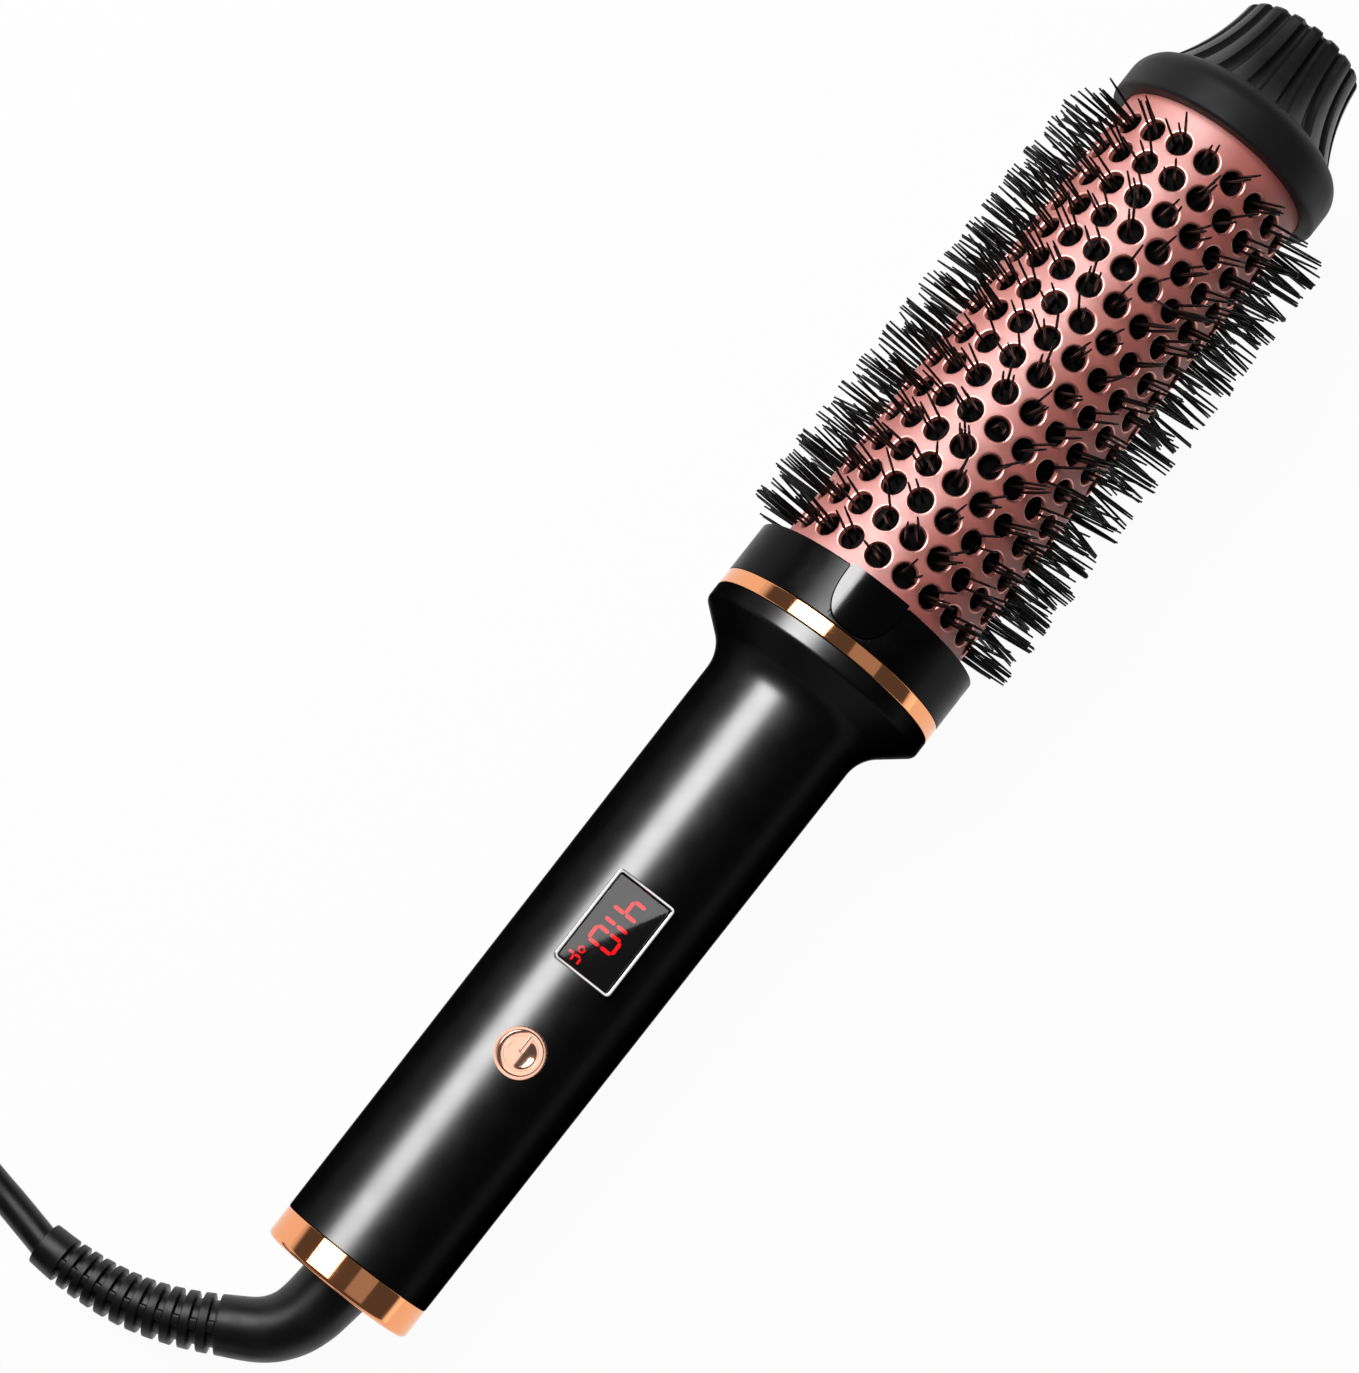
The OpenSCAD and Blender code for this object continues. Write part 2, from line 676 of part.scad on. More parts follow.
module segment(a, b, w) {
    run = norm(b - a);
    cut = 0.62 * w;
    translate(a) rotate(atan2(b[1] - a[1], b[0] - a[0])) polygon([
        [cut, -w / 2], [run - cut, -w / 2], [run - 0.12, 0],
        [run - cut, w / 2], [cut, w / 2], [0.12, 0]
    ]);
}

module figure(x, y, w, h, lit, thick) translate([x, y]) for (k = lit)
    segment(segments(w, h)[k][0], segments(w, h)[k][1], thick);

module display_figures() color([0.9, 0.05, 0.05]) seat()
    translate([82.2, 2.95, board_top + module_h]) rotate([0, 0, 180]) linear_extrude(0.25) {
        w = digit_w - segment_w;
        h = digit_h - segment_w;
        figure(0, 0, w, h, [1, 2, 5, 6], segment_w);
        figure(2.4, 0, w, h, [1, 2], segment_w);
        figure(6.95, 0, w, h, [0, 1, 2, 3, 4, 5], segment_w);
        figure(11.5, -1.2, 1, 2.1, [0, 1, 5, 6], 0.3);
        figure(13.3, -1.45, 1.35, 2.7, [0, 4, 5, 6], 0.4);
    }

// Swivelling cord end: its stem turns in the socket behind a shoulder, and its slip
// rings turn in the socket's chamber
shoulder = [2.8, 4.6];
chamber_start = 10.6;
chamber_end = 16.5;
chamber_r = 8.2;
socket_end = 18;
pin_r = 3.6;

module swivel_socket() color([0.3, 0.3, 0.32]) seat() difference() {
    union() {
        rod(shoulder[1] + 0.4, chamber_start, cup_r - 0.1);
        rod(chamber_start, socket_end, tail_spigot_r);
    }
    rod(shoulder[1], socket_end - 1, stem_bore_r);
    rod(chamber_start, chamber_end, chamber_r);
}

module contact_leaf() {
    translate([-0.6, -2, slip_ring_r + 0.4]) cube([1.2, 4, 0.4]);
    translate([-0.6, -0.6, slip_ring_r + 0.6])
        cube([1.2, 1.2, chamber_r - slip_ring_r - 0.65]);
}

module contact_leaves() color([0.85, 0.65, 0.3]) seat() for (k = [0, 1])
    translate([slip_ring_stations[k] + slip_ring_w / 2, 0, 0]) rotate([180 * k, 0, 0])
        contact_leaf();

module swivel_stem() color([0.1, 0.1, 0.1]) seat() union() {
    rod(boot_start, shoulder[0], boot_base_d / 2);
    rod(shoulder[0], shoulder[1], 8.6);
    rod(shoulder[1], chamber_start + 0.1, stem_r);
    rod(chamber_start + 0.1, chamber_end - 0.9, pin_r);
}

module slip_rings() color([0.85, 0.65, 0.3]) seat() for (x = slip_ring_stations)
    disc(x, x + slip_ring_w, slip_ring_r, pin_r + 0.05);

// Strain relief: a smooth elbow, then ribs that grow smaller towards the cord
boot_base_r = boot_base_d / 2;
boot_end_r = boot_end_d / 2;
rib_pitch = (rib_end - rib_start) / boot_ribs;
function boot_r(u) = u < rib_start
    ? boot_base_r - (boot_base_r - 5.2) * u / rib_start
    : 5.2 - (5.2 - boot_end_r) * (u - rib_start) / (len(boot_route) - 1 - rib_start);
function boot_ring(u, depth) = [u, boot_r(u) - depth];

module strain_relief() color([0.03, 0.03, 0.03]) {
    profile = concat(
        [for (u = [0 : 0.5 : 4]) boot_ring(u, 0)],
        [for (k = [0 : boot_ribs - 1], f = [0, 0.02, 0.46, 0.48])
            boot_ring(rib_start + rib_pitch * (k + f), f == 0 || f == 0.48 ? 0 : groove_depth)],
        [for (u = [rib_end, len(boot_route) - 1]) boot_ring(u, 0)]
    );
    first = [-cos(rest_tilt), 0, -sin(rest_tilt)];
    sweep(
        [for (p = profile) along(boot_route, p[0])],
        [for (p = profile) p[0] == 0 ? first : heading_at(boot_route, p[0])],
        [for (p = profile) p[1]], boot_sides, 15
    );
}

// The cord's two free stretches. Their ends meet their neighbours' ends squarely.
module cord_stretch(route, first, last) {
    inner = headings(route);
    n = len(route);
    sweep(route, [for (i = [0 : n - 1]) i == 0 ? first : i == n - 1 ? last : inner[i]],
        [for (p = route) cord_r], cord_sides, 22.5);
}

module cord() color([0.03, 0.03, 0.03])
    cord_stretch(cord_route, heading_at(boot_route, len(boot_route) - 1), [-1, 0, 0]);

module cord_tail() color([0.03, 0.03, 0.03])
    cord_stretch(concat([coil_exit], tail_route), [0, -1, 0], [1, 0, 0]);

// Coil: the cord spirals in and out at a steady rate, and climbs a layer in the half
// turn where the spiral reverses
coil_turns = layer_turns * coil_layers + end_turns;
function spiral_r(t) =
    let (layer = min(floor(t / layer_turns), coil_layers), part = t - layer * layer_turns)
    coil_out_r - coil_pitch * (layer % 2 == 0 ? part : layer_turns - part)
        + (layer == coil_layers ? 2 * coil_pitch * part : 0);
function climb(t) =
    let (nearest = round(t / layer_turns), away = t - nearest * layer_turns)
    nearest < 1 ? 0 : nearest >= coil_layers ? coil_layers - 1
        : nearest - 1 + (away < -0.25 ? 0 : away > 0.25 ? 1 : (away + 0.25) / 0.5);
function coil_point(t) = [
    coil_middle[0] + spiral_r(t) * cos(90 + 360 * t),
    coil_middle[1] + spiral_r(t) * sin(90 + 360 * t),
    coil_z + coil_pitch * climb(t)
];
coil_exit = coil_point(coil_turns) - [0, cord_d, 0];
coil_route = concat(
    [coil_point(0) + [cord_d, 0, 0]],
    [for (k = [0 : coil_turns * rings_per_turn]) coil_point(k / rings_per_turn)],
    [coil_exit]
);
// The least distance between stretches of the coil more than half a turn apart, less
// the cord's own diameter
coil_free = min([for (i = [0 : len(coil_route) - 1], j = [i + 13 : len(coil_route) - 1])
    norm(coil_route[i] - coil_route[j])]) - cord_d;

module cord_coil() color([0.03, 0.03, 0.03]) {
    echo("least gap between the coil's turns", coil_free);
    inner = headings(coil_route);
    n = len(coil_route);
    sweep(coil_route,
        [for (i = [0 : n - 1]) i == 0 ? [-1, 0, 0] : i == n - 1 ? [0, -1, 0] : inner[i]],
        [for (p = coil_route) cord_r], coil_sides, 30);
}

// Tie: a band round all the turns, on the side of the coil nearest the brush
module cord_tie() color([0.05, 0.05, 0.05]) {
    bundle_w = layer_turns * coil_pitch + cord_d + 0.8;
    bundle_h = (coil_layers - 1) * coil_pitch + cord_d + 0.4;
    middle = [coil_middle[0] + coil_out_r - layer_turns * coil_pitch / 2, coil_middle[1]];
    translate([middle[0], middle[1] + tie_w / 2, tie_t + bundle_h / 2]) rotate([90, 0, 0])
        difference() {
            plate(bundle_w + 2 * tie_t, bundle_h + 2 * tie_t, 2.6, tie_w);
            translate([0, 0, -1]) plate(bundle_w, bundle_h, 1.8, tie_w + 2);
        }
}

// Plug with two flat blades
module plug_body() color([0.03, 0.03, 0.03]) translate(plug_start) {
    face_x = plug_neck_l + plug_l;
    difference() {
        union() {
            spin([
                [0, 0], [0, cord_r + 0.9], [plug_neck_l + 2, cord_r + 2.6],
                [plug_neck_l + 2, 0]
            ]);
            translate([0, 0, -plug_h / 2]) linear_extrude(plug_h) union() {
                translate([plug_neck_l + 7, 0]) circle(7);
                polygon([
                    [plug_neck_l + 4, -6.3], [plug_neck_l + 15, -plug_w / 2],
                    [face_x, -plug_w / 2], [face_x, plug_w / 2],
                    [plug_neck_l + 15, plug_w / 2], [plug_neck_l + 4, 6.3]
                ]);
            }
        }
        for (x = [3 : 3 : plug_neck_l - 1]) disc(x, x + 1.3, 9, cord_r + 0.5);
    }
}

module plug_blades() color("silver") translate(plug_start)
    for (y = [-1, 1]) translate([plug_neck_l + plug_l, y * blade_gap / 2 - blade_t / 2, 0])
        rotate([-90, 0, 0]) linear_extrude(blade_t) polygon([
            [0, -blade_w / 2], [blade_l - 1.2, -blade_w / 2], [blade_l, -blade_w / 4],
            [blade_l, blade_w / 4], [blade_l - 1.2, blade_w / 2], [0, blade_w / 2]
        ]);

handle_front_shell();
handle_back_shell();
handle_screws();
tail_ring();
neck_ring();
collar();
collar_insert();
barrel_sleeve();
cap_ring();
cool_tip();
tip_screw();
rear_spider();
front_spider();
heat_spreader_top();
heat_spreader_bottom();
heater_plate();
thermal_fuse();
temperature_sensor();
heater_leads();
power_leads();
for (b = [0 : banks - 1])
    bristle_bank(b);
display_frame();
display_window();
display_module();
display_figures();
circuit_board();
tact_switch();
switch_plunger();
power_button();
swivel_socket();
contact_leaves();
swivel_stem();
slip_rings();
strain_relief();
cord();
cord_coil();
cord_tail();
cord_tie();
plug_body();
plug_blades();
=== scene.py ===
# Heated round brush, dressed over its CAD frame. Every length is in metres, except in
# the brush's own frame, which is in millimetres: X from the tail end to the tip, Z out
# through the controls, Y to the side where the cord leaves.
import json
import math
import random

import bmesh
import bpy
from mathutils import Matrix, Vector


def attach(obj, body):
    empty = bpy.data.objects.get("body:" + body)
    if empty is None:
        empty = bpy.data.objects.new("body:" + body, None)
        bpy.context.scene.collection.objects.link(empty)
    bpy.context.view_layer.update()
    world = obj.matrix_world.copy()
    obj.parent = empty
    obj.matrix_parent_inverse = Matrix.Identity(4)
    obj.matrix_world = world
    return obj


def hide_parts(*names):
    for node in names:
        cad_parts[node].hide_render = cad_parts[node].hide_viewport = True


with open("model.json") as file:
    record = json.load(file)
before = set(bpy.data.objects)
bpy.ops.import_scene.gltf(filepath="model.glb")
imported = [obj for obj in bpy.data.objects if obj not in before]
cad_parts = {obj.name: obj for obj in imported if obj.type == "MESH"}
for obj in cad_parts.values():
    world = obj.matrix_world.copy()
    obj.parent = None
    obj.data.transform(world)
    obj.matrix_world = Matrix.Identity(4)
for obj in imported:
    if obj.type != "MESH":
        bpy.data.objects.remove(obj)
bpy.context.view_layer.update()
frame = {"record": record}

MM = 0.001
HANDLE = "handle"
BUTTON = "power_button"
CORD_END = "cord_swivel"

# The brush's own frame, from the joint that turns the cord end about the brush's axis
joints = {joint["name"]: joint for joint in frame["record"]["behaviour"]["joints"]}
tail_end = Vector(joints["cord_swivel"]["pos_m"])
along_brush = Vector(joints["cord_swivel"]["axis"]).normalized()
across_brush = Vector((0, 1, 0))
out_of_controls = along_brush.cross(across_brush)
brush_turn = Matrix((along_brush, across_brush, out_of_controls)).transposed().to_4x4()
BRUSH = Matrix.Translation(tail_end) @ brush_turn @ Matrix.Scale(MM, 4)

# Sizes along the brush, in millimetres, as the CAD has them
TAIL_R = 14.7
NECK_R = 15.45
RING_L = 5.9
FLARE_X = 123.3
FLARE_R = 7.8
FLARE_ANGLE = math.radians(50)
COLLAR_R = 22.95
NECK_RING_X = 136.3
NECK_RING_W = 3.1
COLLAR_END = 149.4
BARREL_R = 19.0
BARREL_WALL = 1.0
BARREL_X = (142.22, 252.2)
HOLE_R = 2.225
FIRST_HOLE = 154.2
HOLE_PITCH = 6.05
HOLES_ALONG = 16
HOLES_AROUND = 20
PATTERN_TURN = -4.2
BANKS = 8
BANK_X = (148.45, 248.75)
BANK_HALF = math.radians(19.6)
BACKING_R = (14.3, 16.9)
TIP_CIRCLE_R = 28.2
CAP_X = 251.5
CAP_R = 21.95
CAP_WALL = 5.1
CAP_SHOULDER_R = 5.0
CAP_END = 261.2
TIP_BASE_R = 18.5
TIP_END = 279.6
TIP_RIBS = 18
BUTTON_X = 50.0
BUTTON_R = 4.0
BUTTON_TOP = 14.9
DISPLAY_X = 75.7
DISPLAY_L = 19.0
DISPLAY_W = 11.9
DISPLAY_TOP = 15.25
CORD_R = 2.8
GAP = 0.03  # between things that meet
SLEEVE_GAP = 0.08  # round the ends of the barrel

# Edges sharper than this many degrees show as edges
SHARP = 35.0

# The photograph's camera, in the brush's own frame
PHOTO_H = 1373
FOCAL_PX = 3615.6
SENSOR = 36.0
CAMERA_TARGET = Vector((117.6, 17.1, 0.0))
CAMERA_DISTANCE = 632.2
CAMERA_LEAN = math.radians(7.63)
AXIS_IN_PICTURE = math.radians(51.8)


def make_camera():
    """The camera over the controls, leaning to the tail, with the tip up and right."""
    lean = CAMERA_LEAN
    towards_camera = Vector((-math.sin(lean), 0, math.cos(lean)))
    along = Vector((math.cos(lean), 0, math.sin(lean)))
    across = Vector((0, 1, 0))
    right = along * math.cos(AXIS_IN_PICTURE) - across * math.sin(AXIS_IN_PICTURE)
    up = along * math.sin(AXIS_IN_PICTURE) + across * math.cos(AXIS_IN_PICTURE)
    place = BRUSH @ (CAMERA_TARGET + CAMERA_DISTANCE * towards_camera)
    turn = Matrix((right, up, towards_camera)).transposed().to_4x4()
    data = bpy.data.cameras.new("photo_camera")
    data.sensor_fit = "VERTICAL"
    data.sensor_height = SENSOR
    data.lens = SENSOR * FOCAL_PX / PHOTO_H
    data.clip_start = 0.01
    data.clip_end = 50.0
    camera = bpy.data.objects.new("photo_camera", data)
    bpy.context.collection.objects.link(camera)
    camera.matrix_world = Matrix.Translation(place) @ brush_turn @ turn
    bpy.context.scene.camera = camera


# Shapes: meshes are built in millimetres in the brush's own frame
def polar(x, r, a):
    """The point at x along the brush and r from its axis, turned by a round it."""
    return (x, r * math.sin(a), r * math.cos(a))


def full_turn(count):
    return [2 * math.pi * k / count for k in range(count)]


def ring_of(mesh, x, r, angles):
    """Points round the brush's axis, or the one point on it where the radius is 0."""
    if r == 0:
        return [mesh.verts.new((x, 0, 0))]
    return [mesh.verts.new(polar(x, r, a)) for a in angles]


def join_rings(mesh, first, second, wrap=True):
    """Faces between two rings of points, either of which may be a single point."""
    count = max(len(first), len(second))
    if len(first) == 1 and len(second) == 1:
        return
    for k in range(count if wrap else count - 1):
        n = (k + 1) % count
        if len(first) == 1:
            mesh.faces.new((first[0], second[n], second[k]))
        elif len(second) == 1:
            mesh.faces.new((first[k], first[n], second[0]))
        else:
            mesh.faces.new((first[k], first[n], second[n], second[k]))


def lathe(outline, steps=240, start=0.0, sweep=360.0):
    """A turned solid from a loop of (distance, radius) points."""
    mesh = bmesh.new()
    whole = sweep >= 360
    count = steps if whole else steps + 1
    angles = [math.radians(start + sweep * k / steps) for k in range(count)]
    rings = [ring_of(mesh, x, r, angles) for x, r in outline]
    for first, second in zip(rings, rings[1:] + rings[:1]):
        join_rings(mesh, first, second, wrap=whole)
    if not whole:
        mesh.faces.new([ring[0] for ring in rings])
        mesh.faces.new([ring[-1] for ring in reversed(rings)])
    bmesh.ops.recalc_face_normals(mesh, faces=mesh.faces)
    return mesh


def rounded(points, steps=5):
    """A loop of (distance, radius, corner radius) points with its corners rounded."""
    loop = []
    for i, (x, r, corner) in enumerate(points):
        here = Vector((x, r))
        if not corner:
            loop.append((x, r))
            continue
        back = (Vector(points[i - 1][:2]) - here).normalized()
        ahead = (Vector(points[(i + 1) % len(points)][:2]) - here).normalized()
        half = back.angle(ahead) / 2
        middle = here + (back + ahead).normalized() * corner / math.sin(half)
        first = here + back * corner / math.tan(half)
        last = here + ahead * corner / math.tan(half)
        for k in range(steps + 1):
            spoke = (first.lerp(last, k / steps) - middle).normalized()
            loop.append(tuple(middle + spoke * corner))
    return loop


def arc(x, r, radius, first, last, steps):
    """Points of an arc for rounded(), from angle first to last in degrees."""
    points = []
    for k in range(steps + 1):
        a = math.radians(first + (last - first) * k / steps)
        points.append((x + radius * math.cos(a), r + radius * math.sin(a), 0))
    return points


def prism(outline, low, high):
    """An upright solid over a loop of (x, y) points, from z low to z high."""
    mesh = bmesh.new()
    floor = [mesh.verts.new((x, y, low)) for x, y in outline]
    roof = [mesh.verts.new((x, y, high)) for x, y in outline]
    join_rings(mesh, floor, roof)
    mesh.faces.new(list(reversed(floor)))
    mesh.faces.new(roof)
    bmesh.ops.recalc_face_normals(mesh, faces=mesh.faces)
    return mesh


def rounded_box(x, y, length, width, corner, steps=8):
    """The outline of a rectangle with round corners."""
    points = []
    for k, (sx, sy) in enumerate(((1, 1), (-1, 1), (-1, -1), (1, -1))):
        cx = x + sx * (length / 2 - corner)
        cy = y + sy * (width / 2 - corner)
        for j in range(steps + 1):
            a = math.radians(90 * k + 90 * j / steps)
            points.append((cx + corner * math.cos(a), cy + corner * math.sin(a)))
    return points


def disc(x, r, steps):
    """The outline of a circle on the brush's middle line."""
    return rounded_box(x, 0, 2 * r, 2 * r, r, steps)


def shade(mesh, sharp):
    """Smooth shading that breaks at edges sharper than the given angle."""
    limit = math.radians(sharp)
    for face in mesh.faces:
        face.smooth = True
    for edge in mesh.edges:
        edge.smooth = len(edge.link_faces) == 2 and edge.calc_face_angle(0) < limit


def new_object(name, mesh, matrix=BRUSH, sharp=SHARP):
    """An object from a mesh in millimetres, which matrix takes to the part's metres."""
    mesh.transform(matrix)
    shade(mesh, sharp)
    data = bpy.data.meshes.new(name)
    mesh.to_mesh(data)
    mesh.free()
    obj = bpy.data.objects.new(name, data)
    bpy.context.collection.objects.link(obj)
    return obj


def apply_modifiers(obj):
    graph = bpy.context.evaluated_depsgraph_get()
    data = bpy.data.meshes.new_from_object(obj.evaluated_get(graph))
    obj.modifiers.clear()
    obj.data = data
    data.name = obj.name


def settle(obj):
    """Applies an object's modifiers and marks its sharp edges afresh."""
    apply_modifiers(obj)
    mesh = bmesh.new()
    mesh.from_mesh(obj.data)
    shade(mesh, SHARP)
    mesh.to_mesh(obj.data)
    mesh.free()


def even_normals(obj):
    """Shades a piece's big faces true, so that the small ones at their ends and round
    their cuts don't bend their gloss."""
    modifier = obj.modifiers.new("even", "WEIGHTED_NORMAL")
    modifier.keep_sharp = True
    apply_modifiers(obj)


def cut(obj, mesh, operation="DIFFERENCE"):
    """Cuts an object with a tool given as a mesh in the brush's frame."""
    tool = new_object("tool", mesh)
    modifier = obj.modifiers.new("cut", "BOOLEAN")
    modifier.operation = operation
    modifier.solver = "EXACT"
    modifier.object = tool
    settle(obj)
    bpy.data.objects.remove(tool)


def soften(obj, width, angle=50.0, segments=2):
    """Rounds an object's sharp edges by a width in millimetres."""
    modifier = obj.modifiers.new("soften", "BEVEL")
    modifier.width = width * MM
    modifier.segments = segments
    modifier.limit_method = "ANGLE"
    modifier.angle_limit = math.radians(angle)
    settle(obj)


def finish_piece(obj, body, slot, material, *nodes):
    """Dresses a piece and sets it on its body, in place of the CAD nodes named."""
    obj.data.materials.clear()
    obj.data.materials.append(material)
    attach(obj, body)
    if nodes:
        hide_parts(*nodes)


# Materials
def srgb(r, g, b):
    """A colour as it looks on screen, 0 to 255, as the linear colour a shader takes."""
    def linear(v):
        v /= 255
        return v / 12.92 if v <= 0.04045 else ((v + 0.055) / 1.055) ** 2.4
    return (linear(r), linear(g), linear(b), 1.0)


def grey(v):
    return srgb(v, v, v)


def scaled(colour, factor):
    return tuple(min(1.0, v * factor) for v in colour[:3]) + (1.0,)


GRAIN_DEPTH = 0.02


def surface(name, colour, rough, metal=0.0, tint=0.06, grain=900.0, bump=0.05,
            swing=0.05, stretch=(1, 1, 1), gloss=0.5, edge=1.0):
    """A procedural surface: fine grain in its colour and relief, and a slow change of
    gloss. tint is how far the grain swings the colour, grain is in cells to the metre,
    swing is how far the roughness wanders, and edge is the share of a metal's gloss
    that is left where it is seen at a slant."""
    material = bpy.data.materials.new(name)
    material.use_nodes = True
    nodes = material.node_tree.nodes
    links = material.node_tree.links
    shader = nodes["Principled BSDF"]
    shader.inputs["Metallic"].default_value = metal
    shader.inputs["Specular IOR Level"].default_value = gloss
    shader.inputs["Specular Tint"].default_value = (edge, edge, edge, 1.0)

    place = nodes.new("ShaderNodeTexCoord")
    mapping = nodes.new("ShaderNodeMapping")
    mapping.inputs["Scale"].default_value = stretch
    links.new(place.outputs["Object"], mapping.inputs["Vector"])

    fine = nodes.new("ShaderNodeTexNoise")
    fine.inputs["Scale"].default_value = grain
    fine.inputs["Detail"].default_value = 4.0
    links.new(mapping.outputs["Vector"], fine.inputs["Vector"])

    slow = nodes.new("ShaderNodeTexNoise")
    slow.inputs["Scale"].default_value = grain / 12
    slow.inputs["Detail"].default_value = 2.0
    links.new(mapping.outputs["Vector"], slow.inputs["Vector"])

    mix = nodes.new("ShaderNodeMix")
    mix.data_type = "RGBA"
    mix.inputs["A"].default_value = scaled(colour, 1 - tint)
    mix.inputs["B"].default_value = scaled(colour, 1 + tint)
    links.new(fine.outputs["Fac"], mix.inputs["Factor"])
    links.new(mix.outputs["Result"], shader.inputs["Base Color"])

    dulling = nodes.new("ShaderNodeMapRange")
    dulling.inputs["From Min"].default_value = 0.3
    dulling.inputs["From Max"].default_value = 0.7
    dulling.inputs["To Min"].default_value = max(0.0, rough - swing)
    dulling.inputs["To Max"].default_value = rough + swing
    links.new(slow.outputs["Fac"], dulling.inputs["Value"])
    links.new(dulling.outputs["Result"], shader.inputs["Roughness"])

    relief = nodes.new("ShaderNodeBump")
    relief.inputs["Strength"].default_value = bump
    relief.inputs["Distance"].default_value = GRAIN_DEPTH * MM
    links.new(fine.outputs["Fac"], relief.inputs["Height"])
    links.new(relief.outputs["Normal"], shader.inputs["Normal"])
    return material


def glowing(material, colour, strength):
    shader = material.node_tree.nodes["Principled BSDF"]
    shader.inputs["Emission Color"].default_value = colour
    shader.inputs["Emission Strength"].default_value = strength
    return material


def tinted(material, amount):
    """A clear sheet, of which amount is the share that it hides."""
    material.node_tree.nodes["Principled BSDF"].inputs["Alpha"].default_value = amount
    return material


# The glossy blacks are dark metals, so that their gloss fades where they turn away
GLOSS_BLACK = surface("gloss_black", grey(26), 0.31, metal=1.0, edge=0.0, grain=2500,
                      bump=0.01, swing=0.02)
INSERT_BLACK = surface("insert_black", grey(40), 0.1, metal=1.0, edge=0.05, bump=0.01,
                       swing=0.02)
SATIN_BLACK = surface("satin_black", grey(28), 0.32, metal=1.0, edge=0.7, grain=3500,
                      bump=0.3)
MATT_BLACK = surface("matt_black", srgb(28, 28, 29), 0.5, grain=3000, bump=0.25,
                     gloss=0.2)
TIP_BLACK = surface("tip_black", srgb(22, 22, 23), 0.38, grain=3000, bump=0.2)
ROSE_GOLD = surface("rose_gold", srgb(246, 166, 116), 0.07, metal=1.0, tint=0.02,
                    grain=1500, bump=0.02, swing=0.03)
BUTTON_GOLD = surface("button_gold", srgb(243, 188, 164), 0.12, metal=1.0, tint=0.02,
                      grain=1500, bump=0.02, swing=0.03)
BARREL_PINK = surface("barrel_pink", srgb(203, 110, 100), 0.5, tint=0.05, grain=2600,
                      bump=0.15, swing=0.04, gloss=1.0)
# A lighter copy of the barrel's pink, a painted highlight for the faces of the holes'
# rims
BARREL_RIM_HIGHLIGHT = surface("barrel_rim_painted_highlight", srgb(225, 158, 148), 0.36, metal=1.0, tint=0.03,
                     grain=2600, bump=0.05, swing=0.04)
NYLON = surface("nylon", srgb(9, 9, 10), 0.35, grain=2500, bump=0.1, swing=0.08,
                gloss=0.25)
BACKING = surface("backing", grey(6), 0.7, grain=2500, bump=0.2, gloss=0.08)
SILVER = surface("silver", srgb(215, 215, 218), 0.14, metal=1.0, tint=0.02, bump=0.02)
WINDOW = tinted(surface("window", srgb(8, 8, 9), 0.02, bump=0.0, swing=0.01, tint=0.02,
                        gloss=1.0), 0.6)
FIGURES = glowing(surface("figures", srgb(200, 10, 12), 0.3), srgb(255, 16, 20), 6.5)
RUBBER = surface("rubber", srgb(13, 13, 14), 0.4, grain=3000, bump=0.3, swing=0.06,
                 gloss=0.35)
CORD_BLACK = surface("cord_black", srgb(12, 12, 13), 0.36, grain=2500, bump=0.2,
                     gloss=0.35)
STEEL = surface("steel", srgb(200, 200, 202), 0.25, metal=1.0, grain=1500,
                stretch=(1, 6, 6))
CERAMIC = surface("ceramic", srgb(222, 216, 205), 0.6, grain=2000, bump=0.2)
# Painted shade: the bare aluminium heat spreader is made near black, so that the
# barrel's holes look dark inside
SPREADER_SHADE = surface("spreader_painted_shade", srgb(16, 16, 17), 0.6, grain=1500, bump=0.1, gloss=0.1)
ALUMINIUM = surface("aluminium", srgb(205, 206, 210), 0.35, metal=1.0,
                    stretch=(1, 8, 8))
AMBER = surface("amber", srgb(196, 110, 60), 0.15)
SLEEVING = surface("sleeving", srgb(168, 168, 162), 0.5, bump=0.2)
MODULE = surface("module", srgb(10, 10, 11), 0.6, bump=0.15, gloss=0.2)
BOARD = surface("board", srgb(20, 96, 52), 0.35, grain=700, tint=0.15)
BRASS = surface("brass", srgb(220, 178, 96), 0.2, metal=1.0)
TIE = surface("tie", srgb(16, 16, 17), 0.45, grain=2500, bump=0.3)

# The CAD nodes that show as they are
NODE_MATERIALS = {
    "handle_screws": STEEL, "tip_screw": STEEL, "rear_spider": CERAMIC,
    "front_spider": CERAMIC, "heat_spreader_top": SPREADER_SHADE,
    "heat_spreader_bottom": SPREADER_SHADE, "heater_plate": CERAMIC,
    "thermal_fuse": ALUMINIUM, "temperature_sensor": AMBER,
    "heater_leads": SLEEVING, "power_leads": SLEEVING,
    "display_module": MODULE, "display_figures": FIGURES, "circuit_board": BOARD,
    "tact_switch": MODULE, "switch_plunger": CERAMIC, "swivel_socket": MODULE,
    "contact_leaves": BRASS, "swivel_stem": RUBBER, "slip_rings": BRASS,
    "cord_tie": TIE, "plug_body": RUBBER, "plug_blades": STEEL,
}


def dress_nodes():
    for node, material in NODE_MATERIALS.items():
        data = bpy.data.objects[node].data
        data.materials.clear()
        data.materials.append(material)


